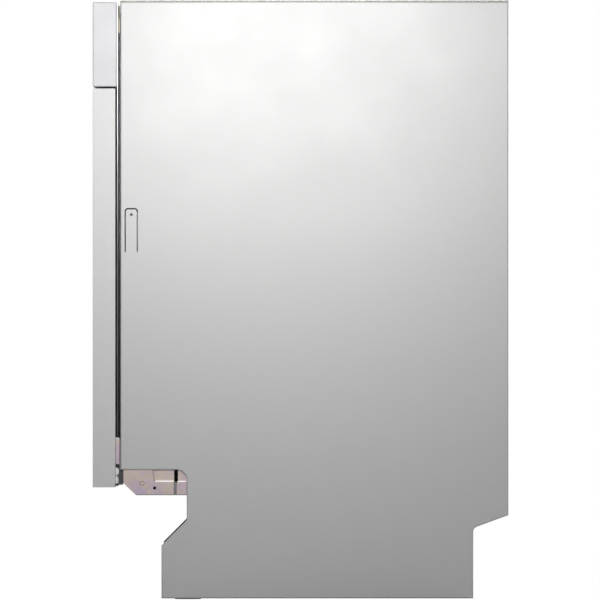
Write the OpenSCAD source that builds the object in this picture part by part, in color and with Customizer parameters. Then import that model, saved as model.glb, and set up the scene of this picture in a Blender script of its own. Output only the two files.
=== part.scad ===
// Built-under dishwasher with its door closed, in millimetres.
// +Z is up, the door faces -Y, and the origin is on the floor under the middle of the machine.
// A "depth" is measured backwards from the door's front face, and back() turns it into Y.

/* [Cabinet] */
// Overall width over the side panels
width = 598; // [560:1:720]
// Overall height on the retracted feet
height = 820; // [780:1:990]
// Overall depth from the door's face to the back edge
depth = 569; // [540:1:690]
// Thickness of the side panel sheet
panel_t = 0.8; // [0.6:0.05:1.2]
// Thickness of the top cover
cover_t = 2; // [1:0.1:3]
// Width of the side panels' folded flanges
fold_w = 11; // [8:0.5:14]
// Radius of the hole in the side panels' fixing tabs
tab_hole_r = 2.1; // [1.5:0.1:3]

/* [Toe recess and rear step] */
// Height of the side panel's lower edge behind the door
notch_z = 177.5; // [170:0.5:190]
// Depth of the recess under the hinge bracket
notch_d = 128.6; // [115:0.1:150]
// Depth of the base's front face at the floor
toe_d = 94; // [85:1:110]
// Height of the base's vertical front
toe_z = 74; // [50:1:90]
// Depth of the recess behind the base
rear_step_d = 48.1; // [30:0.1:60]
// Height of the recess behind the base
rear_step_z = 97.8; // [80:0.1:110]

/* [Door] */
// Height of the door's lower edge
door_z = 153.5; // [145:0.5:156]
// Depth of the door skin's side flanges
skin_d = 31; // [27:0.5:32]
// Height of the console
console_h = 116; // [100:1:130]
// Depth of the console
console_d = 33.2; // [32:0.1:33.4]
// Gap between console and door skin
console_gap = 2.3; // [1:0.1:4]
// Gap between the door liner and the side panel
door_gap = 3.5; // [3:0.1:5]
// Thickness of the door skin and the door liner
door_t = 1; // [0.7:0.05:1.4]
// Depth of the door liner's flat rim
rim_d = 34.5; // [34:0.1:36]
// Gap between the tub wall and the liner's raised field
field_gap = 14; // [12:0.5:18]

/* [Hinge] */
// Depth of the hinge pin
pivot_d = 68; // [66:0.5:72]
// Height of the hinge pin
pivot_z = 159; // [157:0.5:161]
// Radius of the hinge pin
pin_r = 2.75; // [2:0.05:3.5]
// Radius of the sector that winds the door cord
sector_r = 38.5; // [34:0.5:40]
// Radius of the door cord
cord_r = 1.2; // [0.8:0.1:1.6]

/* [Tub and racks] */
// Gap between side panel and tub wall
tub_side_gap = 21; // [20:0.5:24]
// Gap between top cover and tub ceiling
tub_top_gap = 20.6; // [20:0.2:30]
// Gap between back edge and tub rear wall
tub_rear_gap = 29; // [26:0.5:40]
// Thickness of the tub sheet
tub_t = 1; // [0.8:0.1:1.4]
// Height of the runner that the lower rack rolls on
runner_z = 160; // [159:0.5:161]
// Radius of the lower rack's wheels
wheel_r = 15; // [13:0.5:15.5]
// Thickness of the rack wires
wire = 3.2; // [2.6:0.1:4]
// Height of the lower rack's floor
lower_rack_z = 205; // [203:1:215]
// Height of the upper rack's floor
upper_rack_z = 532; // [510:1:560]
// Reach of the spray arms from their hubs
arm_reach = 212; // [180:1:215]

/* [Feet and connections] */
// Radius of the foot's pad
foot_pad_r = 19; // [15:0.5:22]
// Radius of the foot's threaded stem
foot_stem_r = 6; // [5:0.5:8]
// Radius of the water inlet's thread
inlet_r = 13.2; // [10:0.1:16]
// Radius of the drain spigot
drain_r = 10.5; // [8:0.5:13]

/* [Hidden] */
$fn = 48;

// Clearances: a running pin, pieces that pass each other, and pieces that stand side by side
pin_gap = 0.05;
pass_gap = 0.4;
near_gap = 0.2;
over = 1; // how far a cutting shape runs past the face it cuts

// Places shared by several pieces
half_w = width / 2;
side_d = rim_d + door_gap;
cover_z = height - cover_t;
panel_top = cover_z - near_gap;
panel_foot = 1.5;
panel_back_d = depth - 0.3;
step_d = panel_back_d - rear_step_d;
service_d = step_d - 44; // back of the base, set in so that the connections stay inside
step_rise = 17.6;
inner_x = half_w - panel_t;
tub_x = inner_x - tub_side_gap; // outer face of the tub's side wall
tub_in_x = tub_x - tub_t;
tub_top = cover_z - tub_top_gap;
tub_in_top = tub_top - tub_t;
tub_back_d = depth - tub_rear_gap; // outer face of the tub's rear wall
tub_in_back_d = tub_back_d - tub_t;
tub_front_d = side_d + 6;
field_d = pivot_d - near_gap; // inner face of the door's raised field
field_x = tub_in_x - field_gap;
field_z = pivot_z + 12;
field_top = tub_in_top - field_gap;
door_x = half_w - 1.5;
console_z = height - 2.5 - console_h;
console_top = console_z + console_h;
skin_top = console_z - console_gap;
arm_x = tub_x + 7.5; // middle plane of the hinge arm
arm_t = 3;
rim_w = 4; // how far the sector's rim stands out beside the arm
cord_x = arm_x + arm_t / 2 + rim_w / 2; // middle plane of the rim, cord and spring
cord_z = pivot_z + sector_r + near_gap + cord_r;
hub_d = (pivot_d + tub_in_back_d) / 2 - 4; // middle of both spray arms
ledge_x = tub_in_x - 36; // inner edge of the wheel runners
basin_z = runner_z - 20;
rack_front_d = pivot_d + 10;
front_inset = 22; // how far a rack's front wall stands behind its frame
rack_back_d = tub_in_back_d - 35;
lower_rack_x = tub_in_x - 14;
upper_rack_x = tub_in_x - 26;
lower_wall_z = lower_rack_z + 105;
upper_wall_z = upper_rack_z + 100;
front_wheel_d = pivot_d + 125;
rear_wheel_d = rack_back_d - 55;
wheel_z = runner_z + wheel_r + near_gap;
rail_z = upper_rack_z + 45;

function back(d) = d - depth / 2;
function arc(c, r, from, to, n = 8) =
    [for (i = [0:n]) c + r * [cos(from + (to - from) * i / n), sin(from + (to - from) * i / n)]];

// A box given by its two x, its two depths and its two heights
module block(x0, x1, d0, d1, z0, z1) {
    translate([x0, back(d0), z0]) cube([x1 - x0, d1 - d0, z1 - z0]);
}

// A cylinder along X, Y or Z that starts at a point given by x, depth and height
module rod_x(x, d, z, r, l) { translate([x, back(d), z]) rotate([0, 90, 0]) cylinder(r = r, h = l); }
module rod_y(x, d, z, r, l) { translate([x, back(d), z]) rotate([-90, 0, 0]) cylinder(r = r, h = l); }
module rod_z(x, d, z, r, l) { translate([x, back(d), z]) cylinder(r = r, h = l); }

// A plate across X from an outline of depth and height
module side_plate(x, t, outline) {
    translate([x, 0, 0]) rotate([90, 0, 90]) linear_extrude(t)
        polygon([for (p = outline) [back(p[0]), p[1]]]);
}

module both_sides() {
    children();
    mirror([1, 0, 0]) children();
}

// ---- Cabinet ----

notch_fillet = 14.5;

// Outline of the side panel: toe recess and hinge notch in front, sloping step behind
function panel_outline() = concat(
    [[side_d, panel_top], [panel_back_d, panel_top], [panel_back_d, rear_step_z + step_rise],
     [step_d, rear_step_z], [step_d, panel_foot], [toe_d, panel_foot], [toe_d, toe_z]],
    [[notch_d, toe_z + notch_d - toe_d]],
    arc([notch_d - notch_fillet, notch_z - notch_fillet], notch_fillet, 0, 90),
    [[side_d, notch_z]]);

tab_d = side_d + 14.8; // middle of the fixing tab
tab_top = 535.6;
tab_foot = 475.7;
tab_slot = 2;
tab_half = 9.2;

// The inverted U cut that frees the fixing tab
module tab_cut() {
    for (s = [-1, 1])
        block(inner_x - over, half_w + over, tab_d + s * (tab_half - tab_slot / 2) - tab_slot / 2,
              tab_d + s * (tab_half - tab_slot / 2) + tab_slot / 2, tab_foot, tab_top);
    block(inner_x - over, half_w + over, tab_d - tab_half, tab_d + tab_half, tab_top - tab_slot, tab_top);
}

module side_panel() {
    difference() {
        union() {
            side_plate(inner_x, panel_t, panel_outline());
            block(half_w - fold_w, half_w, side_d, side_d + panel_t, notch_z + 40, panel_top);
            block(half_w - fold_w, half_w, panel_back_d - panel_t, panel_back_d, rear_step_z + 40, panel_top);
            block(half_w - fold_w, half_w, toe_d, toe_d + panel_t, panel_foot, 7);
        }
        tab_cut();
        rod_x(inner_x - over, tab_d, tab_top - 9.1, tab_hole_r, panel_t + 2 * over);
    }
}
module side_panel_right() { color([0.74, 0.74, 0.73]) side_panel(); }
module side_panel_left() { color([0.74, 0.74, 0.73]) mirror([1, 0, 0]) side_panel(); }

bracket_w = 26;
bracket_x = half_w - 6 - bracket_w / 2; // middle of the worktop brackets
bracket_back_d = side_d + 42;

module top_cover() {
    color([0.8, 0.8, 0.78]) difference() {
        block(-half_w, half_w, side_d, depth, cover_z, height);
        for (s = [-1, 1])
            block(s * bracket_x - bracket_w / 2 - near_gap, s * bracket_x + bracket_w / 2 + near_gap,
                  side_d - 3, bracket_back_d + near_gap, cover_z - over, height + over);
    }
}

rear_t = 1.2;
rear_d = panel_back_d - 1.4; // outer face of the upright back sheet
rear_x = inner_x - near_gap;
port_z = 62;
port_l = 32; // how far the water inlet stands out of the back
mains_r = 3.8; // radius of the hole for the mains lead
inlet_x = -254;
drain_x = 150;
mains_x = 222;

// Holes that the water inlet, the drain and the mains lead pass through
module port_holes() {
    rod_y(inlet_x, service_d - 20, port_z, inlet_r + 1, 30);
    rod_y(drain_x, service_d - 20, port_z, drain_r + 1, 30);
    rod_y(mains_x, service_d - 20, port_z, 9, 30);
}

// Back in three sheets: the upright one, the one over the step, the one with the service holes
module rear_panel() {
    shelf_back_z = rear_step_z + step_rise + 1.5; // heights of the two ends of the sheet over the step
    shelf_front_z = tray_top + 1.6;
    service_foot_z = 12;
    color([0.62, 0.63, 0.64]) {
        block(-rear_x, rear_x, rear_d - rear_t, rear_d, shelf_back_z + rear_t, panel_top - 1);
        side_plate(-rear_x, 2 * rear_x, [
            [rear_d, shelf_back_z], [service_d, shelf_front_z],
            [service_d - rear_t, shelf_front_z + 1], [rear_d - rear_t, shelf_back_z + 1]]);
        difference() {
            side_plate(-rear_x, 2 * rear_x, [
                [service_d, shelf_front_z - near_gap], [service_d, service_foot_z],
                [service_d - rear_t, service_foot_z], [service_d - rear_t, shelf_front_z + 1 - near_gap]]);
            port_holes();
        }
    }
}

tray_z = 8;
tray_t = 3;
tray_top = 100;
tray_x = inner_x - near_gap;
foot_x = 232;
foot_front_d = toe_d + 36;
foot_rear_d = service_d - 50;
boss_r = foot_stem_r + 5;
boss_top = 74;

tray_set_back = 6; // how far the tray's sloping front lies under the side panels' edge

function tray_outline(inset) = [
    [toe_d + 1 + inset, tray_z + inset], [toe_d + 1 + inset, toe_z - tray_set_back - 0.42 * inset],
    [toe_d + tray_top - toe_z + 1 + tray_set_back + inset, tray_top - 0.42 * inset],
    [toe_d + tray_top - toe_z + 1 + tray_set_back + inset, tray_top + inset],
    [service_d - rear_t - 0.3 - inset, tray_top + inset], [service_d - rear_t - 0.3 - inset, tray_z + inset]];

// Moulded tray that carries the pumps, the softener and the feet
module base_tray() {
    color([0.16, 0.16, 0.17]) difference() {
        union() {
            difference() {
                side_plate(-tray_x, 2 * tray_x, tray_outline(0));
                side_plate(-tray_x + tray_t, 2 * (tray_x - tray_t), tray_outline(tray_t));
            }
            for (s = [-1, 1]) rod_z(s * foot_x, foot_front_d, tray_z, boss_r, boss_top - tray_z);
            rod_z(0, foot_rear_d, tray_z, boss_r, boss_top - tray_z);
        }
        for (s = [-1, 1]) rod_z(s * foot_x, foot_front_d, tray_z - over, foot_stem_r + pin_gap, boss_top);
        rod_z(0, foot_rear_d, tray_z - over, foot_stem_r + pin_gap, boss_top);
        port_holes();
    }
}

// Levelling foot: a round pad under a threaded stem
module foot(x, d) {
    rod_z(x, d, 0, foot_pad_r, 5);
    rod_z(x, d, 4, foot_stem_r, boss_top - 8);
}
module foot_front_right() { color([0.2, 0.2, 0.21]) foot(foot_x, foot_front_d); }
module foot_front_left() { color([0.2, 0.2, 0.21]) foot(-foot_x, foot_front_d); }
module foot_rear() { color([0.2, 0.2, 0.21]) foot(0, foot_rear_d); }

// ---- Hinge ----

bracket_out_x = half_w - 3;
bracket_t = 1.6;
bracket_in_x = tub_x + 1.2;
bracket_foot = 142.7;
bracket_top = 212;
bracket_front_d = side_d + 3.8;
bracket_lip_z = 159.2; // foot of the bracket's upright front edge
bracket_toe_d = 59.5; // where its sloping front edge meets the foot
bracket_floor_d = 76; // front of the floor that joins its two cheeks
bracket_hole_d = 84.7;
bracket_hole_z = 152.6;
bracket_hole_r = 2.15;
bracket_slot_d = 111.5;
bracket_slot_w = 4;
bracket_slot_foot = 147;

function bracket_outline() = [
    [bracket_front_d, bracket_top], [bracket_front_d, bracket_lip_z], [bracket_toe_d, bracket_foot],
    [notch_d, bracket_foot], [notch_d, bracket_top]];

module hinge_bracket() {
    difference() {
        union() {
            side_plate(bracket_out_x - bracket_t, bracket_t, bracket_outline());
            side_plate(bracket_in_x, bracket_t, bracket_outline());
            block(bracket_in_x, bracket_out_x, bracket_floor_d, notch_d, bracket_foot, bracket_foot + bracket_t);
        }
        rod_x(bracket_in_x - over, pivot_d, pivot_z, pin_r + 0.02, 40);
        rod_x(bracket_in_x - over, bracket_hole_d, bracket_hole_z, bracket_hole_r, 40);
        block(bracket_out_x - 4, half_w, bracket_slot_d, bracket_slot_d + bracket_slot_w,
              bracket_slot_foot, notch_z + 8);
    }
}
module hinge_brackets() { color([0.72, 0.66, 0.42]) both_sides() hinge_bracket(); }

// Riveted pin with a collar on each end
module hinge_pins() {
    color([0.7, 0.7, 0.68]) both_sides() {
        rod_x(bracket_in_x - 0.9, pivot_d, pivot_z, pin_r, bracket_out_x - bracket_in_x + 1.8);
        rod_x(bracket_out_x + 0.02, pivot_d, pivot_z, pin_r + 1.6, 1.2);
    }
}

// Dark plastic strip that closes the corner in front of the bracket
module hinge_covers() {
    color([0.25, 0.25, 0.26]) both_sides()
        block(cord_x + 3, bracket_out_x - 0.2, side_d - 1.6, bracket_front_d - 0.3, 157, notch_z + 1);
}

// Zinc angle: a tab on top to screw to the worktop, a leg in front of the tub's rim
module worktop_brackets() {
    color([0.75, 0.7, 0.5]) for (s = [-1, 1]) difference() {
        union() {
            block(s * bracket_x - bracket_w / 2, s * bracket_x + bracket_w / 2,
                  side_d - 2.4, bracket_back_d, cover_z + near_gap, height);
            block(s * bracket_x - bracket_w / 2, s * bracket_x + bracket_w / 2,
                  side_d - 2.4, side_d - 1, cover_z - 43, height);
        }
        rod_z(s * bracket_x, bracket_back_d - 15, cover_z - over, 2.5, cover_t + 2 * over);
    }
}

catch_d = 58;
catch_z = tub_top + 5;

// Striker: two ears on the tub's roof that hold a cross bar
module door_catch() {
    color([0.7, 0.7, 0.7]) {
        rod_x(-16, catch_d, catch_z, 2.5, 32);
        for (s = [-1, 1])
            block(s * 15 - 1, s * 15 + 1, catch_d - 6, catch_d + 6, tub_top, catch_z + 3);
        block(-22, 22, catch_d - 8, catch_d + 8, tub_top, tub_top + 1.5);
    }
}

// Flat cord over the front quarter of the sector's rim and back to the spring
module door_cords() {
    rim_r = sector_r + near_gap;
    color([0.9, 0.9, 0.88]) both_sides() {
        block(cord_x - cord_r, cord_x + cord_r, pivot_d, pivot_d + 100, cord_z - cord_r, cord_z + cord_r);
        intersection() {
            difference() {
                rod_x(cord_x - cord_r, pivot_d, pivot_z, rim_r + 2 * cord_r, 2 * cord_r);
                rod_x(cord_x - cord_r - over, pivot_d, pivot_z, rim_r, 2 * cord_r + 2 * over);
            }
            block(cord_x - 5, cord_x + 5, 0, pivot_d, pivot_z, pivot_z + 2 * sector_r);
        }
    }
}

spring_d = pivot_d + 100.2;
spring_l = 210;

// Tension spring, with the straight end that hooks into the back sheet
module door_springs() {
    color([0.35, 0.35, 0.37]) both_sides() {
        rod_y(cord_x, spring_d, cord_z, 5.5, spring_l);
        rod_y(cord_x, spring_d + spring_l, cord_z, 1.5, rear_d - rear_t - near_gap - spring_d - spring_l);
    }
}

// ---- Tub ----

// Side walls and ceiling in one sheet, with a narrow turned-out rim in front
module tub_wrapper() {
    color([0.78, 0.79, 0.8]) difference() {
        union() {
            both_sides() block(tub_in_x, tub_x, tub_front_d, tub_in_back_d, runner_z + 0.2, tub_top);
            block(-tub_x, tub_x, tub_front_d, tub_in_back_d, tub_in_top, tub_top);
            both_sides() block(tub_x - tub_t, tub_x + 4, tub_front_d, tub_front_d + tub_t, 232, tub_top);
            block(-tub_x - 4, tub_x + 4, tub_front_d, tub_front_d + tub_t, tub_in_top, tub_top + 4);
        }
        block(-12, 12, tub_front_d - over, tub_front_d + 2 * tub_t, tub_top, tub_top + 5);
    }
}
module tub_rear_wall() {
    color([0.76, 0.77, 0.78])
        block(-tub_x, tub_x, tub_in_back_d, tub_back_d, runner_z + 0.2, tub_top);
}

sump_d = pivot_d + 122; // middle of the filter well
filter_r = 36;
salt_x = -170;
salt_d = rear_wheel_d - 40;
salt_r = 33;
post_r = 14;
basin_front_d = notch_d + 1.8;
basin_back_d = tub_in_back_d - 24;

// Floor pan: runners at the sides, a basin between them, and a lip in front
module tub_floor() {
    color([0.77, 0.78, 0.79]) difference() {
        union() {
            block(-tub_x, tub_x, pivot_d - 8, tub_back_d, runner_z - 1.2, runner_z);
            block(-ledge_x - 1.2, ledge_x + 1.2, basin_front_d - 1.2, basin_back_d + 1.2, basin_z - 1.2, runner_z);
            block(-tub_x, tub_x, pivot_d - 8, pivot_d - 6.8, runner_z - 10, runner_z);
        }
        block(-ledge_x, ledge_x, basin_front_d, basin_back_d, basin_z, runner_z + over);
        rod_z(0, sump_d, basin_z - 5, filter_r + 2, 10);
        rod_z(0, hub_d, basin_z - 5, post_r + 0.5, 10);
        rod_z(salt_x, salt_d, basin_z - 5, salt_r + 0.5, 10);
    }
}

gasket_d = tub_front_d + 4;

// Door seal round the sides and the top of the mouth
module tub_gasket() {
    color([0.2, 0.2, 0.21]) {
        both_sides() block(field_x + 3, tub_in_x, gasket_d, gasket_d + 9, runner_z + 12, tub_in_top);
        block(-tub_in_x, tub_in_x, gasket_d, gasket_d + 9, field_top + 3, tub_in_top);
    }
}
module sill_seal() {
    color([0.2, 0.2, 0.21])
        block(12 - lower_rack_x, lower_rack_x - 12, pivot_d - 6.6, pivot_d - 0.8, runner_z, runner_z + 7);
}

rail_out_x = field_x + 1;
rail_h = 16;
rail_l = rack_back_d - rack_front_d - 8;

// Fixed channels of the upper rack's pull-outs, open towards the rack
module upper_rack_rails() {
    color([0.7, 0.71, 0.72]) both_sides() difference() {
        block(rail_out_x - 9, tub_in_x, rack_front_d + 4, rack_front_d + 4 + rail_l, rail_z, rail_z + rail_h);
        block(rail_out_x - 10, rail_out_x, rack_front_d, rack_front_d + 8 + rail_l, rail_z + 2, rail_z + rail_h - 2);
    }
}
// Middle members that travel half as far as the rack
module rail_sliders() {
    color([0.66, 0.67, 0.69]) both_sides() difference() {
        block(rail_out_x - 9, rail_out_x - 0.4, rack_front_d + 4, rack_front_d + 4 + rail_l,
              rail_z + 2.4, rail_z + rail_h - 2.4);
        block(rail_out_x - 10, rail_out_x - 3, rack_front_d, rack_front_d + 8 + rail_l,
              rail_z + 4.4, rail_z + rail_h - 4.4);
    }
}

// ---- Hydraulics ----

sump_top = basin_z - 1.2;
sump_foot = 46;

// Well for the filter, joined to the block that feeds the lower spray arm
module sump() {
    color([0.18, 0.18, 0.19]) difference() {
        union() {
            rod_z(0, sump_d, sump_foot, filter_r + 8, sump_top - sump_foot);
            block(-30, 30, sump_d, hub_d + 20, sump_foot + 20, sump_top - 20);
            rod_z(0, hub_d, sump_foot + 20, post_r + 4, sump_top - sump_foot - 20);
            rod_z(0, hub_d, sump_top - 2, post_r, runner_z + 10 - sump_top + 2);
            rod_z(0, hub_d, runner_z + 9, 6, 18);
        }
        rod_z(0, sump_d, sump_foot + 4, filter_r, sump_top);
    }
}
module wash_pump() {
    color([0.3, 0.3, 0.31]) {
        rod_x(60, sump_d + 30, 84, 36, 60);
        rod_x(119, sump_d + 30, 84, 28, 60);
        rod_x(178, sump_d + 30, 84, 8, 12);
    }
}
module drain_pump() {
    color([0.24, 0.24, 0.25]) {
        rod_x(-118, sump_d, 76, 24, 60);
        rod_x(-150, sump_d, 76, 18, 33);
    }
}

tank_top = basin_z - 1.4;

// Salt tank with the neck that rises through the floor pan
module softener_tank() {
    color([0.85, 0.85, 0.83]) difference() {
        union() {
            block(salt_x - 60, salt_x + 70, salt_d - 60, salt_d + 45, 30, tank_top);
            rod_z(salt_x, salt_d, tank_top - 1, salt_r - 5, basin_z + 6 - tank_top + 1);
        }
        rod_z(salt_x, salt_d, 60, salt_r - 9, 120);
    }
}
module salt_cap() {
    color([0.2, 0.2, 0.21]) {
        rod_z(salt_x, salt_d, basin_z + 6.3, salt_r, 9);
        rod_z(salt_x, salt_d, basin_z - 14, salt_r - 9 - pin_gap, 22);
        block(salt_x - 24, salt_x + 24, salt_d - 3, salt_d + 3, basin_z + 14, basin_z + 20);
    }
}

duct_d = tub_in_back_d - 20;
duct_x = 17;
port_up_z = upper_rack_z - 12;

// Riser up the rear wall and along the ceiling, ending in the ceiling shower
module spray_feed_duct() {
    color([0.72, 0.73, 0.74]) {
        block(-duct_x, duct_x, duct_d, tub_in_back_d, basin_z + 22, tub_in_top);
        block(-duct_x, duct_x, hub_d, tub_in_back_d, tub_in_top - 14, tub_in_top);
        rod_z(0, hub_d, tub_in_top - 24, 30, 24);
        rod_y(0, duct_d - 6, port_up_z, 9, 7);
    }
}
module filter_plate() {
    color([0.68, 0.69, 0.7]) difference() {
        block(-115, 115, basin_front_d + 6, hub_d - post_r - 12, basin_z, basin_z + 1.2);
        rod_z(0, sump_d, basin_z - over, filter_r + 2, 4);
    }
}

// Micro filter: a thin tube with a lattice of windows and a grip on top
module filter_cylinder() {
    color([0.6, 0.62, 0.64]) difference() {
        union() {
            rod_z(0, sump_d, sump_foot + 4.4, filter_r - pass_gap, basin_z + 12 - sump_foot - 4.4);
            rod_z(0, sump_d, basin_z + 1.6, filter_r + 6, 5);
        }
        rod_z(0, sump_d, sump_foot + 8, filter_r - 4, 130);
        for (a = [0:45:315], z = [62:22:106])
            translate([0, back(sump_d), z]) rotate([0, 0, a]) translate([filter_r - 8, -6, 0]) cube([12, 12, 14]);
    }
}

// Hub with the tip-to-tip blade of a spray arm; z is the blade's underside
module spray_arm(z, t, hub_r, bore_r) {
    difference() {
        union() {
            block(-arm_reach + 18, arm_reach - 18, hub_d - 18, hub_d + 18, z, z + t);
            for (s = [-1, 1]) rod_z(s * (arm_reach - 18), hub_d, z, 18, t);
            rod_z(0, hub_d, z - 3, hub_r, t + 6);
        }
        rod_z(0, hub_d, z - 10, bore_r + pin_gap, t + 30);
        for (s = [-1, 1], i = [1:6])
            rod_z(s * (30 + 26 * i), hub_d + 5 * s, z + t - 2, 1.6, 4);
    }
}
module lower_spray_arm() { color([0.6, 0.62, 0.64]) spray_arm(runner_z + 14, 11, 20, 6); }

// ---- Racks ----

mat_gap = 0.1; // between a rack's wire mats, which are welded on the real one

// Mat of level and upright wires across X, at a depth
module cross_mat(x, d, z0, z1, step) {
    for (z = [z0 + step:step:z1])
        block(-x - wire / 2, x + wire / 2, d - wire / 2, d + wire / 2, z - wire / 2, z + wire / 2);
    for (i = [-x:2 * x / 8:x + 0.1])
        block(i - wire / 2, i + wire / 2, d - wire / 2, d + wire / 2, z0 + wire / 2 + mat_gap, z1 + wire / 2);
}

// Rack made of a floor mat, a front and a rear mat, and two side mats between them
module basket(x, d0, d1, z0, z1, step) {
    front = d0 + front_inset;
    span = d1 - front;
    inset = wire / 2 + mat_gap;
    for (i = [-x:2 * x / 12:x + 0.1])
        block(i - wire / 2, i + wire / 2, front, d1, z0 - wire / 2, z0 + wire / 2);
    for (d = [front:span / 8:d1 + 0.1])
        block(-x - wire / 2, x + wire / 2, d - wire / 2, d + wire / 2, z0 - wire / 2, z0 + wire / 2);
    for (d = [front, d1]) cross_mat(x, d, z0, z1, step);
    both_sides() {
        for (z = [z0 + step:step:z1])
            block(x - wire / 2, x + wire / 2, front + inset, d1 - inset, z - wire / 2, z + wire / 2);
        for (i = [1:5])
            block(x - wire / 2, x + wire / 2, front + i * span / 6 - wire / 2,
                  front + i * span / 6 + wire / 2, z0 + inset, z1 + wire / 2);
    }
}
module lower_rack() {
    color([0.8, 0.8, 0.82]) {
        basket(lower_rack_x - 10, rack_front_d, rack_back_d, lower_rack_z, lower_wall_z, 35);
        // wheel carriers that clip under the floor mat
        both_sides() for (d = [front_wheel_d, rear_wheel_d]) {
            block(lower_rack_x - 12, lower_rack_x - 9, d - 10, d + 10, wheel_z - 8,
                  lower_rack_z - wire / 2 - mat_gap);
            rod_x(lower_rack_x - 10, d, wheel_z, 4, 9);
        }
    }
}
module wheel_pair(d) {
    both_sides() difference() {
        rod_x(lower_rack_x - 8, d, wheel_z, wheel_r, 8);
        rod_x(lower_rack_x - 9, d, wheel_z, 4 + pin_gap, 10);
    }
}
module front_wheels() { color([0.4, 0.41, 0.43]) wheel_pair(front_wheel_d); }
module rear_wheels() { color([0.4, 0.41, 0.43]) wheel_pair(rear_wheel_d); }

tine_h = 80;
tine_step = 26;
tine_z = lower_rack_z + wire / 2 + near_gap;
fold_d = hub_d - 30;
basket_front_d = rack_front_d + 30;

// Fixed rows of upright tines on the rack's right half
module plate_tines() {
    color([0.8, 0.8, 0.82]) for (d = [hub_d - 20:60:hub_d + 110]) {
        block(20, 200, d - 2, d + 2, tine_z, tine_z + 4);
        for (x = [24:tine_step:196]) block(x - 1.6, x + 1.6, d - 1.6, d + 1.6, tine_z, tine_z + tine_h);
    }
}
// Row of tines on one shaft, folding backwards onto the floor
module folding_tines() {
    color([0.45, 0.47, 0.5]) {
        rod_x(-200, fold_d, tine_z + 5, 3, 185);
        for (x = [-190:tine_step:-30]) block(x - 1.6, x + 1.6, fold_d - 1.6, fold_d + 1.6, tine_z + 5, tine_z + 5 + tine_h);
    }
}
module cutlery_basket() {
    color([0.3, 0.31, 0.33]) difference() {
        block(-190, -30, basket_front_d, basket_front_d + 75, tine_z, tine_z + 115);
        for (i = [0:1]) block(-187 + i * 79, -112 + i * 79, basket_front_d + 3, basket_front_d + 72, tine_z + 3, tine_z + 120);
    }
}

module upper_rack() {
    color([0.8, 0.8, 0.82]) {
        basket(upper_rack_x - 4, rack_front_d, rack_back_d, upper_rack_z, upper_wall_z, 50);
        // shoes that run inside the middle members
        both_sides() for (d = [rack_front_d + 20, rack_back_d - 20])
            block(upper_rack_x - 4 + wire / 2 + mat_gap, rail_out_x - 4.4, d - 12, d + 12,
                  rail_z + 4.8, rail_z + rail_h - 4.8);
    }
}
module upper_arm_conduit() {
    color([0.6, 0.62, 0.64]) {
        block(-12, 12, hub_d - 12, duct_d - 7, upper_rack_z - 18, upper_rack_z - wire / 2 - near_gap);
        rod_z(0, hub_d, upper_rack_z - 34, 6, 20);
    }
}
module upper_spray_arm() { color([0.6, 0.62, 0.64]) spray_arm(upper_rack_z - 33, 9, 18, 6); }

shelf_z = upper_wall_z + 6;

// Fold-up shelf for cups on the left wall of the upper rack
module cup_shelf() {
    color([0.45, 0.47, 0.5]) {
        rod_y(-upper_rack_x + 14, rack_front_d + 60, shelf_z, 3.5, 250);
        for (i = [0:8]) block(-upper_rack_x + 14, -upper_rack_x + 94,
            rack_front_d + 65 + 29.5 * i, rack_front_d + 69 + 29.5 * i, shelf_z - 2, shelf_z + 2);
        block(-upper_rack_x + 92, -upper_rack_x + 96, rack_front_d + 65, rack_front_d + 305, shelf_z - 2, shelf_z + 2);
    }
}

// ---- Connections at the back ----

module inlet_valve() {
    color([0.85, 0.85, 0.84]) {
        rod_y(inlet_x, service_d - 50, port_z, 20, 40);
        difference() {
            rod_y(inlet_x, service_d - 12, port_z, inlet_r, 12 + port_l);
            rod_y(inlet_x, service_d - 2, port_z, 8, port_l + 10);
        }
    }
}
module drain_port() {
    color([0.2, 0.2, 0.21]) difference() {
        union() {
            rod_y(drain_x, service_d - 24, port_z, drain_r, 24 + port_l + 6);
            rod_y(drain_x, service_d - 24, port_z, drain_r + 5, 17);
        }
        rod_y(drain_x, service_d - 10, port_z, drain_r - 2.5, 60);
    }
}
module mains_inlet() {
    color([0.1, 0.1, 0.1]) difference() {
        union() {
            rod_y(mains_x, service_d - 20, port_z, 8.6, 30);
            rod_y(mains_x, service_d + 0.2, port_z, 12, 4);
        }
        rod_y(mains_x, service_d - 14, port_z, mains_r, 60);
    }
}

// ---- Door ----

// Outer skin: front sheet with flanges folded back along its sides, top and foot
module door_skin() {
    color([0.75, 0.75, 0.74]) difference() {
        block(-door_x, door_x, 0, skin_d, door_z, skin_top);
        block(-door_x + door_t, door_x - door_t, door_t, skin_d + over, door_z + door_t, skin_top - door_t);
    }
}

disp_x0 = -100;
disp_x1 = 62;
disp_z0 = 400;
disp_z1 = 520;
cap_x = 36;
cap_z = disp_z0 + 60;
arm_slot_top = 226;

// Inner door: a flat rim and a raised field that closes the tub's mouth
module door_liner() {
    color([0.78, 0.79, 0.8]) difference() {
        union() {
            block(-door_x + 1.5, door_x - 1.5, rim_d - door_t, rim_d, door_z + 1.2, console_top - 3);
            block(-field_x, field_x, rim_d - door_t, field_d, field_z, field_top);
        }
        block(-field_x + door_t, field_x - door_t, rim_d - 2 * door_t, field_d - door_t,
              field_z + door_t, field_top - door_t);
        block(disp_x0 - near_gap, disp_x1 + near_gap, field_d - 2 * door_t, field_d + over,
              disp_z0 - near_gap, disp_z1 + near_gap);
        both_sides() block(arm_x - 3, cord_x + 4, rim_d - 2 * door_t, rim_d + over, door_z - over, arm_slot_top);
        block(-14, 14, rim_d - 2 * door_t, rim_d + over, tub_top + 1, console_top);
    }
}

fascia_t = 2.5;
grip_x = 92;
grip_z0 = console_z + 37;
grip_z1 = console_z + 88;
button_z = 768;
button_r = 9;
window_x0 = 112;
window_x1 = 196;

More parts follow.
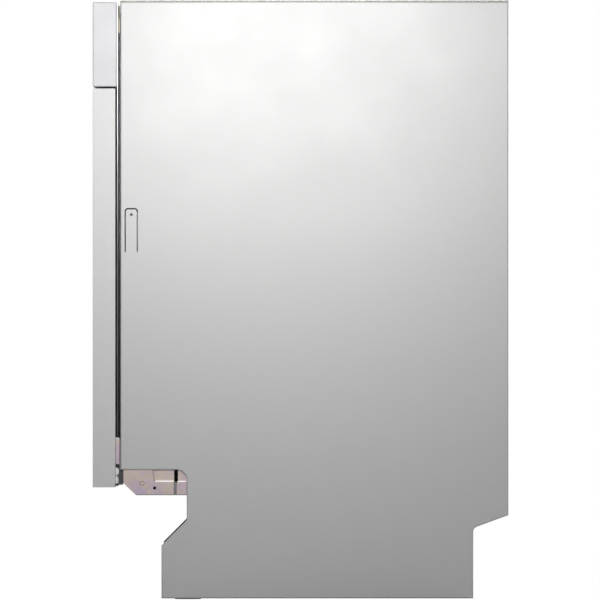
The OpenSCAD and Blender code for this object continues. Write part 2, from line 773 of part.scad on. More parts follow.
// Console shell: front, top, foot and end walls, open towards the door's inside
module console_fascia() {
    color([0.86, 0.86, 0.87]) difference() {
        block(-door_x, door_x, 0, console_d, console_z, console_top);
        block(-door_x + fascia_t, door_x - fascia_t, fascia_t, console_d + over,
              console_z + fascia_t, console_top - fascia_t);
        block(-grip_x, grip_x, -over, fascia_t + over, grip_z0, grip_z1);
        block(window_x0, window_x1, -over, fascia_t + over, button_z - 14, button_z + 14);
        for (x = [-255, -210, 220, 260]) rod_y(x, -over, button_z, button_r + pass_gap, fascia_t + 2 * over);
    }
}
// Bowl behind the grip opening
module grip_pocket() {
    color([0.3, 0.3, 0.31]) difference() {
        block(-grip_x - 2, grip_x + 2, fascia_t + near_gap, 26, grip_z0 - 2, grip_z1 + 2);
        block(-grip_x, grip_x, 0, 24, grip_z0, grip_z1);
    }
}
module display_window() {
    color([0.05, 0.05, 0.06])
        block(window_x0 + near_gap, window_x1 - near_gap, 0.2, fascia_t, button_z - 13.8, button_z + 13.8);
}

// Round key with a plunger and a collar that holds it behind the fascia
module button(x) {
    rod_y(x, 0, button_z, button_r, 6);
    rod_y(x, fascia_t + 2.2, button_z, button_r + 1.5, 2);
    rod_y(x, 5, button_z, 3, 8);
}
module button_power() { color([0.55, 0.55, 0.57]) button(-255); }
module button_program() { color([0.55, 0.55, 0.57]) button(-210); }
module button_option() { color([0.55, 0.55, 0.57]) button(220); }
module button_start() { color([0.55, 0.55, 0.57]) button(260); }

pawl_d = 26;
pawl_z = catch_z + 2.5 + 3;

// Latch body at the top middle of the inner door
module latch_housing() {
    color([0.2, 0.2, 0.21]) difference() {
        block(-22, 22, pawl_d - 11.6, rim_d - door_t - 0.2, pawl_z - 12, console_top - fascia_t - 0.4);
        block(-7, 7, 10, 60, pawl_z - 6, console_top + 5);
    }
}
module latch_pawl() {
    color([0.72, 0.72, 0.73]) {
        block(-5, 5, pawl_d, catch_d + 5, pawl_z - 2.6, pawl_z + 1.6);
        rod_x(-6.8, pawl_d, pawl_z, 2, 13.6); // pivot
        rod_x(-5, catch_d + 5, pawl_z - 0.5, 2.1, 10);
    }
}

cup_x0 = -60;
cup_x1 = -10;
lid_travel = 34;

// Dispenser: a detergent cup, a shallow track for its lid, and the rinse aid neck
module dispenser_body() {
    color([0.5, 0.52, 0.54]) difference() {
        block(disp_x0, disp_x1, 40, field_d, disp_z0, disp_z1);
        block(cup_x0, cup_x1, 46, field_d + over, disp_z0 + 25, disp_z1 - 35);
        block(cup_x0 - 6 - lid_travel, cup_x1 + 6, field_d - 3.6, field_d + over, disp_z0 + 19, disp_z1 - 29);
        rod_y(cap_x, 50, cap_z, 9, 40);
        rod_y(cap_x, field_d - 6, cap_z, 17, 20);
    }
}
module dispenser_lid() {
    color([0.62, 0.64, 0.66])
        block(cup_x0 - 5, cup_x1 + 5, field_d - 3.2, field_d - 0.6, disp_z0 + 20, disp_z1 - 30);
}
module rinse_aid_cap() {
    color([0.3, 0.45, 0.6]) {
        rod_y(cap_x, field_d - 5.6, cap_z, 16.6, 4.4);
        rod_y(cap_x, field_d - 16, cap_z, 9 - pin_gap, 12);
    }
}

// Arm plate: an upright inside the door, a neck through the rim and the half-round sector
module hinge_arm() {
    difference() {
        union() {
            side_plate(arm_x - arm_t / 2, arm_t, [[8, 186], [8, 330], [29.5, 330], [29.5, 222], [44, 216],
                [pivot_d, 197], [pivot_d, pivot_z], [pivot_d - 37, pivot_z + 6], [29.5, 186]]);
            intersection() {
                rod_x(arm_x - arm_t / 2, pivot_d, pivot_z, sector_r, arm_t + rim_w);
                block(arm_x - 5, arm_x + 9, 0, 200, pivot_z, 260);
            }
            rod_x(arm_x - arm_t / 2, pivot_d, pivot_z, pin_r + 5, arm_t);
        }
        rod_x(arm_x - 5, pivot_d, pivot_z, pin_r + pin_gap, 16);
    }
}
module hinge_arms() { color([0.68, 0.66, 0.55]) both_sides() hinge_arm(); }
module corner_guides() {
    color([0.85, 0.85, 0.84]) both_sides() {
        block(cord_x + 3.4, door_x - 1.7, skin_d, rim_d - door_t - 0.1, 158, 168);
        block(cord_x + 3.4, door_x - 1.7, skin_d, rim_d - door_t - 0.1, 169, 179);
    }
}

side_panel_right();
side_panel_left();
top_cover();
rear_panel();
base_tray();
hinge_brackets();
hinge_pins();
hinge_covers();
worktop_brackets();
door_catch();
tub_wrapper();
tub_rear_wall();
tub_floor();
tub_gasket();
sill_seal();
upper_rack_rails();
sump();
wash_pump();
drain_pump();
softener_tank();
spray_feed_duct();
filter_plate();
inlet_valve();
drain_port();
mains_inlet();
door_springs();
door_cords();
door_skin();
door_liner();
console_fascia();
grip_pocket();
display_window();
latch_housing();
latch_pawl();
dispenser_body();
dispenser_lid();
rinse_aid_cap();
hinge_arms();
corner_guides();
button_power();
button_program();
button_option();
button_start();
rail_sliders();
upper_rack();
upper_arm_conduit();
upper_spray_arm();
cup_shelf();
lower_rack();
plate_tines();
folding_tines();
cutlery_basket();
front_wheels();
rear_wheels();
lower_spray_arm();
filter_cylinder();
salt_cap();
foot_front_right();
foot_front_left();
foot_rear();
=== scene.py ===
"""Looks of a built-under dishwasher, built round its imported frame.

Lengths are in metres in the frame's own axes: +X across, -Y towards the door, +Z up.
A depth is measured backwards from the door's face, as the design does.
"""

import math

import bmesh
import bpy
from mathutils import Matrix, Vector


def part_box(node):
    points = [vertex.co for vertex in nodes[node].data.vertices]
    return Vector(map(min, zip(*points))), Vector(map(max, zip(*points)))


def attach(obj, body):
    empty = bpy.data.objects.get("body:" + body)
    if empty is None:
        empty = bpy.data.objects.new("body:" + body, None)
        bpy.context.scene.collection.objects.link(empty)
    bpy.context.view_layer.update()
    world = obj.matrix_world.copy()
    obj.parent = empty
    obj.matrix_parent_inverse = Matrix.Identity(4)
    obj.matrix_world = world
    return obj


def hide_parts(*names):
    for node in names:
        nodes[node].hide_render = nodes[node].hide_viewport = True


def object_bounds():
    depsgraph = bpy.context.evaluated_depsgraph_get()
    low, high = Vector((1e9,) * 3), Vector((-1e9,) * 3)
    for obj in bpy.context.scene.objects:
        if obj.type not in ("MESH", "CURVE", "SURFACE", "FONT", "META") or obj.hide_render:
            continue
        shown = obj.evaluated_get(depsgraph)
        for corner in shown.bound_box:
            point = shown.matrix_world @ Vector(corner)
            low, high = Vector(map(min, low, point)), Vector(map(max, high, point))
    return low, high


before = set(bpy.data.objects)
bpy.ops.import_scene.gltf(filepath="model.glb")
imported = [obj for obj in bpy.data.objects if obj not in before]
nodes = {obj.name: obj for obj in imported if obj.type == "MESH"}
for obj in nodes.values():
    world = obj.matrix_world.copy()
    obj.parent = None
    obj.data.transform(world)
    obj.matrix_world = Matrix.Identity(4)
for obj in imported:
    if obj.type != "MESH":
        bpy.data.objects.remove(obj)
cad_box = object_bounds()
MM = 0.001

# ---------------- places, from the frame

HALF_W = cad_box[1].x
FRONT_Y = cad_box[0].y


def back(depth_mm):
    """The Y of a depth measured back from the door's face."""
    return FRONT_Y + depth_mm * MM


def low(node):
    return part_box(node)[0]


def high(node):
    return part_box(node)[1]


def middle(node):
    return (low(node) + high(node)) / 2


# ---------------- node trees


class Tree:
    """A material's node tree with short calls for the nodes that the finishes share."""

    def __init__(self, name):
        self.material = bpy.data.materials.new(name)
        self.material.use_nodes = True
        self.tree = self.material.node_tree
        self.shader = self.tree.nodes["Principled BSDF"]
        self.coords = self.add("ShaderNodeTexCoord").outputs["Object"]

    def add(self, kind, values=(), **settings):
        """A new node with its settings, and values for its inputs by name."""
        node = self.tree.nodes.new(kind)
        for key, value in settings.items():
            setattr(node, key, value)
        for key, value in dict(values).items():
            node.inputs[key].default_value = value
        return node

    def link(self, source, target):
        self.tree.links.new(source, target)

    def stretched(self, scale):
        """Object coordinates scaled by a vector, which draws a noise out along its small axes."""
        mapping = self.add("ShaderNodeMapping", {"Scale": scale})
        self.link(self.coords, mapping.inputs["Vector"])
        return mapping.outputs["Vector"]

    def noise(self, scale, detail=3.0, vector=None, rough=0.55):
        node = self.add("ShaderNodeTexNoise", {"Scale": scale, "Detail": detail, "Roughness": rough})
        self.link(vector or self.coords, node.inputs["Vector"])
        return node.outputs["Fac"]

    def cells(self, scale, vector=None):
        node = self.add("ShaderNodeTexVoronoi", {"Scale": scale})
        self.link(vector or self.coords, node.inputs["Vector"])
        return node.outputs["Distance"]

    def spread(self, value, lowest, highest, from_low=0.3, from_high=0.7):
        node = self.add("ShaderNodeMapRange", {"From Min": from_low, "From Max": from_high,
                                               "To Min": lowest, "To Max": highest})
        self.link(value, node.inputs["Value"])
        return node.outputs["Result"]

    def ramp(self, value, stops):
        node = self.add("ShaderNodeValToRGB")
        elements = node.color_ramp.elements
        while len(elements) < len(stops):
            elements.new(0.5)
        for element, (place, colour) in zip(elements, stops):
            element.position = place
            element.color = (*colour, 1)
        self.link(value, node.inputs["Fac"])
        return node.outputs["Color"]

    def colour(self, value, dark, light, from_low=0.3, from_high=0.7):
        self.link(self.ramp(value, [(from_low, dark), (from_high, light)]), self.shader.inputs["Base Color"])

    def roughness(self, value, lowest, highest):
        self.link(self.spread(value, lowest, highest), self.shader.inputs["Roughness"])

    def bump(self, value, strength, distance, normal=None):
        node = self.add("ShaderNodeBump", {"Strength": strength, "Distance": distance})
        self.link(value, node.inputs["Height"])
        if normal:
            self.link(normal, node.inputs["Normal"])
        self.link(node.outputs["Normal"], self.shader.inputs["Normal"])
        return node.outputs["Normal"]


def shade(colour, factor):
    return tuple(min(1.0, c * factor) for c in colour)


def adjust(material, **constants):
    """Sets constants on a finish's own shader. An underscore stands for a space in an input's name."""
    shader = material.node_tree.nodes["Principled BSDF"]
    for name, value in constants.items():
        shader.inputs[name.replace("_", " ")].default_value = value
    return material


# ---------------- finishes


def satin_sheet(name, colour, metallic=0.35, rough=0.42):
    """Coated steel sheet: fine mottled grain over a slow change of gloss."""
    t = Tree(name)
    grain = t.noise(1400, 2)
    t.colour(grain, shade(colour, 0.965), shade(colour, 1.02))
    t.roughness(t.noise(9, 3), rough - 0.03, rough + 0.03)
    t.bump(grain, 0.05, 0.0002, t.bump(t.noise(5, 1), 0.02, 0.002))
    return adjust(t.material, Metallic=metallic)


def brushed_steel(name, colour, along, rough=0.3):
    """Stainless sheet with scratches drawn out along one axis."""
    t = Tree(name)
    scale = [900.0, 900.0, 900.0]
    scale["XYZ".index(along)] = 12.0
    lines = t.noise(1, 4, t.stretched(scale))
    t.colour(lines, shade(colour, 0.94), shade(colour, 1.03))
    t.roughness(lines, rough - 0.03, rough + 0.05)
    t.bump(lines, 0.03, 0.0001)
    return adjust(t.material, Metallic=1.0)


def galvanised(name, colour):
    """Zinc-coated sheet with its faint crystal flowers."""
    t = Tree(name)
    flowers = t.cells(70, t.stretched((1, 1.4, 0.8)))
    t.colour(flowers, shade(colour, 0.93), shade(colour, 1.03), 0.1, 0.8)
    t.roughness(flowers, 0.4, 0.46)
    t.bump(t.noise(500, 2), 0.05, 0.0002)
    return adjust(t.material, Metallic=0.85)


def passivated_zinc(name):
    """Zinc plate with the yellow, rose and lilac clouds of its passivation."""
    t = Tree(name)
    clouds = t.noise(28, 2.5)
    stops = [(0.3, (0.72, 0.59, 0.76)), (0.42, (0.79, 0.64, 0.66)), (0.5, (0.82, 0.70, 0.60)),
             (0.58, (0.79, 0.64, 0.68)), (0.7, (0.69, 0.60, 0.78))]
    t.link(t.ramp(clouds, stops), t.shader.inputs["Base Color"])
    t.roughness(t.noise(120, 3), 0.28, 0.44)
    t.bump(t.noise(700, 2), 0.06, 0.0002)
    return adjust(t.material, Metallic=0.25)


def moulded_plastic(name, colour, rough=0.5, grain=1600, depth=0.12):
    """Moulded plastic with a fine sparked texture."""
    t = Tree(name)
    texture = t.noise(grain, 3)
    t.colour(t.noise(14, 2), shade(colour, 0.94), shade(colour, 1.05))
    t.roughness(texture, rough - 0.06, rough + 0.08)
    t.bump(texture, depth, 0.0003)
    return adjust(t.material, Specular_IOR_Level=0.4)


def gloss_plastic(name, colour, rough=0.12):
    t = Tree(name)
    t.colour(t.noise(6, 2), shade(colour, 0.97), shade(colour, 1.03))
    t.roughness(t.noise(60, 3), rough - 0.03, rough + 0.05)
    t.bump(t.noise(220, 2), 0.015, 0.0002)
    return adjust(t.material, Coat_Weight=0.5, Coat_Roughness=0.06)


def rubber(name, colour):
    t = Tree(name)
    bloom = t.noise(40, 4)
    t.colour(bloom, shade(colour, 0.8), shade(colour, 1.5))
    t.roughness(bloom, 0.6, 0.8)
    t.bump(t.noise(900, 3), 0.1, 0.0003)
    return t.material


def bright_metal(name, colour, rough=0.18):
    t = Tree(name)
    marks = t.noise(260, 4)
    t.colour(marks, shade(colour, 0.9), shade(colour, 1.05))
    t.roughness(marks, rough - 0.05, rough + 0.1)
    t.bump(marks, 0.03, 0.0002)
    return adjust(t.material, Metallic=1.0)


def filter_mesh(name, colour):
    """Fine woven steel gauze, drawn by two crossed sets of wires."""
    t = Tree(name)
    heights = []
    for axis in "XZ":
        wave = t.add("ShaderNodeTexWave", {"Scale": 320}, bands_direction=axis)
        t.link(t.coords, wave.inputs["Vector"])
        heights.append(wave.outputs["Fac"])
    mix = t.add("ShaderNodeMath", operation="MAXIMUM")
    t.link(heights[0], mix.inputs[0])
    t.link(heights[1], mix.inputs[1])
    t.colour(mix.outputs[0], shade(colour, 0.35), colour)
    t.bump(mix.outputs[0], 0.3, 0.0003)
    return adjust(t.material, Metallic=0.8, Roughness=0.4)


SIDE = satin_sheet("side_sheet", (0.62, 0.62, 0.615), 0.2, 0.54)
DOOR = satin_sheet("door_sheet", (0.66, 0.66, 0.655), 0.12, 0.55)
COVER = satin_sheet("cover_sheet", (0.66, 0.66, 0.62), 0.3, 0.5)
BACK = galvanised("back_sheet", (0.62, 0.63, 0.65))
TUB_Z = brushed_steel("tub_steel_upright", (0.72, 0.725, 0.73), "Z")
TUB_Y = brushed_steel("tub_steel_level", (0.72, 0.725, 0.73), "X", 0.26)
ZINC = passivated_zinc("zinc")
BRIGHT = bright_metal("bright_steel", (0.72, 0.72, 0.73))
RAIL = brushed_steel("rail_steel", (0.66, 0.67, 0.69), "Y", 0.28)
SPRING = bright_metal("spring_steel", (0.2, 0.2, 0.21), 0.4)
CORD = moulded_plastic("cord_fibre", (0.78, 0.78, 0.74), 0.75, 2600, 0.5)
SEAL = rubber("seal_rubber", (0.022, 0.022, 0.024))
SILVER = moulded_plastic("console_silver", (0.645, 0.64, 0.66), 0.4, 1900, 0.05)
BLACK = moulded_plastic("base_black", (0.028, 0.028, 0.03), 0.55)
PUMP = moulded_plastic("pump_grey", (0.09, 0.09, 0.095), 0.5)
WHITE = moulded_plastic("white_plastic", (0.72, 0.72, 0.7), 0.45)
ARM = moulded_plastic("arm_grey", (0.33, 0.345, 0.36), 0.42)
DARK = moulded_plastic("dark_grey", (0.075, 0.077, 0.082), 0.5)
WINDOW = gloss_plastic("window_gloss", (0.006, 0.006, 0.008))
KEY = moulded_plastic("key_grey", (0.3, 0.3, 0.31), 0.35, 2200, 0.05)
DISPENSER = moulded_plastic("dispenser_grey", (0.24, 0.25, 0.27), 0.45)
CAP_BLUE = moulded_plastic("cap_blue", (0.06, 0.13, 0.26), 0.4)
NYLON = gloss_plastic("coated_wire", (0.56, 0.57, 0.6), 0.28)
RACK_GREY = moulded_plastic("rack_grey", (0.14, 0.15, 0.17), 0.42)
GAUZE = filter_mesh("filter_gauze", (0.6, 0.6, 0.6))
# Painted highlight: a white, faintly glowing finish that stands for the light caught on the bracket's folded
# edges.
ZINC_PAINTED_HIGHLIGHT = adjust(moulded_plastic("fold_painted_highlight", (0.95, 0.95, 0.95), 0.4),
              Emission_Color=(1, 1, 1, 1), Emission_Strength=0.35)
# Painted shade: a near-black finish that stands for the dark inside the bracket's slot and hole and round
# the hinge pin's end.
PAINTED_HOLE_SHADE = adjust(moulded_plastic("painted_hole_shade", (0.004, 0.004, 0.004), 0.9), Specular_IOR_Level=0.05)
# Painted shade: zinc darkened to stand for the shade under the bracket's lip, beside its slot and along the
# step of its layer.
ZINC_PAINTED_SHADE = adjust(bright_metal("shadowed_zinc", (0.3, 0.3, 0.31), 0.4), Metallic=0.3)
PAD = moulded_plastic("pad_grey", (0.84, 0.85, 0.83), 0.45)
BRACKET = galvanised("bracket_zinc", (0.46, 0.45, 0.38))
BEIGE = moulded_plastic("clip_beige", (0.5, 0.43, 0.3), 0.45)
OLIVE = galvanised("clip_olive", (0.1, 0.097, 0.075))
MARK = gloss_plastic("printed_mark", (0.04, 0.04, 0.045), 0.4)
GLOW = adjust(gloss_plastic("display_glow", (0.5, 0.72, 0.8), 0.4),
              Emission_Color=(0.4, 0.75, 1.0, 1), Emission_Strength=0.6)


# ---------------- mesh tools


def add_box(bm, lo, hi, radius=0.0, segments=2):
    """A box from its corners, with rounded edges."""
    lo, hi = Vector(lo), Vector(hi)
    made = bmesh.ops.create_cube(bm, size=1.0)["verts"]
    size = hi - lo
    bmesh.ops.scale(bm, vec=size, verts=made)
    bmesh.ops.translate(bm, vec=(lo + hi) / 2, verts=made)
    if radius:
        edges = list({e for v in made for e in v.link_edges})
        limit = min(size) * 0.45
        bmesh.ops.bevel(bm, geom=edges, offset=min(radius, limit), segments=segments,
                        profile=0.5, affect="EDGES")


def add_pair(bm, x, y, z, radius=0.0, segments=2):
    """The same box on both sides of the machine, from its ranges of X, Y and Z."""
    for s in (-1, 1):
        x0, x1 = sorted((s * x[0], s * x[1]))
        add_box(bm, (x0, y[0], z[0]), (x1, y[1], z[1]), radius, segments)


def add_prism(bm, outline, axis, start, end, radius=0.0, segments=2):
    """An outline extruded along an axis. Its points are the other two coordinates, in axis order."""
    place = "XYZ".index(axis)

    def point(p, w):
        q = list(p)
        q.insert(place, w)
        return q

    first = [bm.verts.new(point(p, start)) for p in outline]
    last = [bm.verts.new(point(p, end)) for p in outline]
    count = len(outline)
    faces = [bm.faces.new(first), bm.faces.new(list(reversed(last)))]
    for i in range(count):
        j = (i + 1) % count
        faces.append(bm.faces.new((first[j], first[i], last[i], last[j])))
    bmesh.ops.recalc_face_normals(bm, faces=faces)
    if radius:
        rim = [e for f in faces[:2] for e in f.edges]
        bmesh.ops.bevel(bm, geom=rim, offset=radius, segments=segments, profile=0.5, affect="EDGES")


def ring_frame(path, closed):
    """Tangent frames along a path, carried on without twist."""
    frames = []
    count = len(path)
    normal = None
    for i, p in enumerate(path):
        ahead = path[(i + 1) % count] if closed or i + 1 < count else p
        behind = path[i - 1] if closed or i else p
        tangent = (ahead - behind).normalized()
        if normal is None:
            guess = Vector((0, 0, 1)) if abs(tangent.z) < 0.9 else Vector((1, 0, 0))
            normal = guess
        normal = (normal - tangent * normal.dot(tangent)).normalized()
        frames.append((normal, tangent.cross(normal)))
    return frames


def add_tube(bm, path, radius, sides=8, closed=False):
    """A round bar swept along points, with closed ends."""
    path = [Vector(p) for p in path]
    rings = []
    for p, (n, b) in zip(path, ring_frame(path, closed)):
        ring = []
        for k in range(sides):
            a = 2 * math.pi * k / sides
            ring.append(bm.verts.new(p + (n * math.cos(a) + b * math.sin(a)) * radius))
        rings.append(ring)
    pairs = list(zip(rings, rings[1:])) + ([(rings[-1], rings[0])] if closed else [])
    for one, two in pairs:
        for k in range(sides):
            m = (k + 1) % sides
            bm.faces.new((one[k], one[m], two[m], two[k]))
    if not closed:
        bm.faces.new(list(reversed(rings[0])))
        bm.faces.new(rings[-1])


def add_lathe(bm, profile, centre, axis="Z", steps=40):
    """A closed profile of (radius, place) turned round an axis through a point."""
    centre = Vector(centre)
    turn = {"Z": Matrix.Identity(3), "X": Matrix.Rotation(math.pi / 2, 3, "Y"),
            "Y": Matrix.Rotation(-math.pi / 2, 3, "X")}[axis]
    rings = []
    for r, z in profile:
        if r < 1e-7:
            rings.append([bm.verts.new(centre + turn @ Vector((0, 0, z)))])
            continue
        rings.append([bm.verts.new(centre + turn @ Vector((r * math.cos(2 * math.pi * k / steps),
                                                           r * math.sin(2 * math.pi * k / steps), z)))
                      for k in range(steps)])
    hollow = all(len(ring) > 1 for ring in rings)
    pairs = list(zip(rings, rings[1:])) + ([(rings[-1], rings[0])] if hollow else [])
    for one, two in pairs:
        for k in range(steps):
            m = (k + 1) % steps
            if len(one) == 1 and len(two) == 1:
                continue
            if len(one) == 1:
                bm.faces.new((one[0], two[m], two[k]))
            elif len(two) == 1:
                bm.faces.new((one[k], one[m], two[0]))
            else:
                bm.faces.new((one[k], one[m], two[m], two[k]))


def finish_mesh(bm, name, material, smooth=40):
    """Turns a bmesh into a scene object with angle-limited smooth shading."""
    bmesh.ops.recalc_face_normals(bm, faces=bm.faces)
    mesh = bpy.data.meshes.new(name)
    bm.to_mesh(mesh)
    bm.free()
    obj = bpy.data.objects.new(name, mesh)
    bpy.context.scene.collection.objects.link(obj)
    obj.data.materials.append(material)
    mesh.shade_smooth()
    mesh.set_sharp_from_angle(angle=math.radians(smooth))
    even_normals(obj)
    return obj


def circle(centre, radius, steps):
    """Points round a full circle in a plane, from its two coordinates."""
    return [(centre[0] + radius * math.cos(2 * math.pi * k / steps),
             centre[1] + radius * math.sin(2 * math.pi * k / steps)) for k in range(steps)]


def even_normals(obj):
    """Lets the large flat faces set the normals, so that a rounded edge doesn't shade into them."""
    normals = obj.modifiers.new("normals", "WEIGHTED_NORMAL")
    normals.mode = "FACE_AREA"
    normals.weight = 80
    normals.keep_sharp = True


def piece(name, body, material, build, replaces=(), smooth=40):
    """Builds one piece, names its finish, and lets it ride on its body."""
    bm = bmesh.new()
    build(bm)
    obj = finish_mesh(bm, name, material, smooth)
    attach(obj, body)
    if replaces:
        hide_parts(*replaces)
    return obj


def arc(centre, radius, start, end, steps=8):
    """Points of an arc in a plane, from one angle to another in degrees."""
    return [(centre[0] + radius * math.cos(math.radians(start + (end - start) * i / steps)),
             centre[1] + radius * math.sin(math.radians(start + (end - start) * i / steps)))
            for i in range(steps + 1)]


def soften(node, material, width=0.4, segments=2):
    """A CAD node that stays: its material, and its sharp edges rounded."""
    obj = nodes[node]
    obj.data.materials.clear()
    obj.data.materials.append(material)
    weld = obj.modifiers.new("weld", "WELD")
    weld.merge_threshold = 0.00002
    flat = obj.modifiers.new("flat", "DECIMATE")
    flat.decimate_type = "DISSOLVE"
    flat.angle_limit = math.radians(0.8)
    round_edges = obj.modifiers.new("round", "BEVEL")
    round_edges.width = width * MM
    round_edges.segments = segments
    round_edges.limit_method = "ANGLE"
    round_edges.angle_limit = math.radians(40)
    even_normals(obj)
    return obj


# ---------------- camera, light and floor

PANEL_X = HALF_W
VIEW_H = 0.8207  # height of the photographed frame at the side panel
AIM_Y = -0.0009  # the middle of that frame, beside and under the panel's own
AIM_DROP = 0.0006
LENS = 1500  # long, because the photograph shows hardly any perspective
SENSOR = 36
scene = bpy.context.scene
scene.view_settings.view_transform = "Standard"

camera = bpy.data.objects.new("camera", bpy.data.cameras.new("camera"))
camera.data.lens = LENS
camera.data.sensor_width = SENSOR
camera.data.clip_end = 200
camera.location = (PANEL_X + VIEW_H * LENS / SENSOR, AIM_Y, VIEW_H / 2 - AIM_DROP)
camera.rotation_euler = (math.radians(90), 0, math.radians(90))
scene.collection.objects.link(camera)
scene.camera = camera


def area_light(name, place, aim, size, power):
    """A soft lamp that the camera doesn't see."""
    lamp = bpy.data.lights.new(name, "AREA")
    lamp.shape = "RECTANGLE"
    lamp.size, lamp.size_y = size
    lamp.energy = power
    obj = bpy.data.objects.new(name, lamp)
    obj.location = place
    obj.rotation_euler = (Vector(aim) - Vector(place)).to_track_quat("-Z", "Y").to_euler()
    obj.visible_camera = False
    scene.collection.objects.link(obj)


LAMPS = (  # name, place, aim, size and power
    ("key", (1.13, -0.07, 0.85), (0.3, -0.07, 0.77), (0.5, 0.35), 7.9),
    ("front", (-0.85, -2.3, 1.1), (-0.3, 0, 0.45), (1.6, 1.6), 24),
    ("left", (-2.2, 0.3, 1.3), (-0.3, 0, 0.45), (1.6, 1.6), 20),
    ("rear", (-0.8, 2.3, 1.2), (-0.2, 0, 0.4), (1.6, 1.6), 32),
    ("top", (-0.9, 0, 2.4), (-0.2, 0, 0.6), (1.4, 1.4), 22),
)
for lamp_settings in LAMPS:
    area_light(*lamp_settings)

# The camera sees a white studio; everything else gets only a soft, weak light from it.
world = bpy.data.worlds.new("studio")
scene.world = world
world.use_nodes = True
wt = world.node_tree
wt.nodes["Background"].inputs["Color"].default_value = (1, 1, 1, 1)
wt.nodes["Background"].inputs["Strength"].default_value = 1.0
soft = wt.nodes.new("ShaderNodeBackground")
soft.inputs["Color"].default_value = (0.97, 0.98, 1, 1)
soft.inputs["Strength"].default_value = 0.08
path = wt.nodes.new("ShaderNodeLightPath")
mix = wt.nodes.new("ShaderNodeMixShader")
wt.links.new(path.outputs["Is Camera Ray"], mix.inputs["Fac"])
wt.links.new(soft.outputs[0], mix.inputs[1])
wt.links.new(wt.nodes["Background"].outputs[0], mix.inputs[2])
wt.links.new(mix.outputs[0], wt.nodes["World Output"].inputs["Surface"])

FLOOR_HALF = 3.0
FLOOR_DROP = 0.0005
GLARE = 1.03  # the floor's brightness to the camera, which makes it as white as the photograph's
GLARE_SHARE = 0.97

floor_paint = Tree("studio_floor")
floor_paint.colour(floor_paint.noise(3, 2), (0.5, 0.5, 0.5), (0.56, 0.56, 0.56))
adjust(floor_paint.material, Roughness=0.9)
glare = floor_paint.add("ShaderNodeEmission", {"Strength": GLARE})
seen = floor_paint.add("ShaderNodeLightPath")
share = floor_paint.add("ShaderNodeMath", {1: GLARE_SHARE}, operation="MULTIPLY")
blend = floor_paint.add("ShaderNodeMixShader")
floor_paint.link(seen.outputs["Is Camera Ray"], share.inputs[0])
floor_paint.link(share.outputs[0], blend.inputs[0])
floor_paint.link(floor_paint.shader.outputs[0], blend.inputs[1])
floor_paint.link(glare.outputs[0], blend.inputs[2])
floor_paint.link(blend.outputs[0], floor_paint.tree.nodes["Material Output"].inputs["Surface"])
bm = bmesh.new()
bmesh.ops.create_grid(bm, x_segments=1, y_segments=1, size=FLOOR_HALF)
floor = finish_mesh(bm, "floor", floor_paint.material)
floor.location.z = -FLOOR_DROP

# ---------------- side panels

PANEL_DEPTH = 0.0062  # how deep the pan's folded edge shows
SHEET = 0.0008
INNER_BEND = 0.001
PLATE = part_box("side_panel_right")
SIDE_Y0, SIDE_Y1 = PLATE[0].y, PLATE[1].y
SIDE_TOP, SIDE_FOOT = PLATE[1].z, PLATE[0].z
NOTCH_Z = 0.1775  # the door notch: its top, its back edge and the fillet between them
NOTCH_Y = back(128.6)
FILLET = 0.0145
TOE_Y = back(94)  # the toe recess: its edge, and the height where the slope starts
TOE_Z = 0.074
STEP_Y = SIDE_Y1 - 0.0481  # the step at the back
STEP_Z = 0.0978
STEP_RISE = 0.0176

side_outline = [(SIDE_Y0, SIDE_TOP), (SIDE_Y1, SIDE_TOP), (SIDE_Y1, STEP_Z + STEP_RISE)]
side_outline += [(STEP_Y + 0.004, STEP_Z + 0.0015), (STEP_Y + 0.001, STEP_Z - 0.001),
                 (STEP_Y, STEP_Z - 0.004)]
side_outline += [(STEP_Y, SIDE_FOOT), (TOE_Y, SIDE_FOOT), (TOE_Y, TOE_Z), (NOTCH_Y, TOE_Z + NOTCH_Y - TOE_Y)]
side_outline += arc((NOTCH_Y - FILLET, NOTCH_Z - FILLET), FILLET, 0, 90, 10)
side_outline += [(SIDE_Y0, NOTCH_Z)]


def shrink(outline, amount):
    """An outline moved inwards by an amount, corner by corner."""
    count = len(outline)
    area = sum(outline[i][0] * outline[(i + 1) % count][1] - outline[(i + 1) % count][0] * outline[i][1]
               for i in range(count))
    turn = 1 if area > 0 else -1
    out = []
    for i in range(count):
        p, q, r = (Vector(outline[(i + k - 1) % count]) for k in range(3))
        a, b = (q - p).normalized(), (r - q).normalized()
        na, nb = Vector((-a.y, a.x)) * turn, Vector((-b.y, b.x)) * turn
        half = (na + nb).normalized()
        out.append(tuple(q + half * amount / max(0.3, half.dot(na))))
    return out


def cut(obj, build, name):
    """Cuts a closed shape out of a mesh with an exact boolean, applied at once."""
    bm = bmesh.new()
    build(bm)
    tool = finish_mesh(bm, name, obj.data.materials[0])
    modifier = obj.modifiers.new("cut", "BOOLEAN")
    modifier.object = tool
    modifier.solver = "EXACT"
    modifier.use_self = True
    bpy.context.view_layer.update()
    solved = bpy.data.meshes.new_from_object(obj.evaluated_get(bpy.context.evaluated_depsgraph_get()))
    obj.modifiers.clear()
    bm = bmesh.new()
    bm.from_mesh(solved)
    bmesh.ops.triangulate(bm, faces=bm.faces, quad_method="FIXED", ngon_method="EAR_CLIP")
    for face in bm.faces:
        face.smooth = max(map(abs, face.normal)) < 0.9995
    bm.to_mesh(solved)
    bm.free()
    obj.data = solved
    bpy.data.objects.remove(tool)
    return obj


def build_side(bm, sign):
    """A pan folded from sheet: a face with rounded edges, hollow behind."""
    outer = PANEL_X * sign
    steps = [(0.0018, 0.0), (0.00095, 0.00024), (0.00024, 0.00095), (0.0, 0.0018),
             (0.0, PANEL_DEPTH), (SHEET, PANEL_DEPTH), (SHEET, SHEET + INNER_BEND),
             (SHEET + INNER_BEND, SHEET)]
    rings = [[bm.verts.new((outer - sign * drop, *p)) for p in shrink(side_outline, inset)]
             for inset, drop in steps]
    for one, two in zip(rings, rings[1:]):
        for i in range(len(one)):
            j = (i + 1) % len(one)
            bm.faces.new((one[i], one[j], two[j], two[i]))
    bm.faces.new(rings[0])
    bm.faces.new(rings[-1])


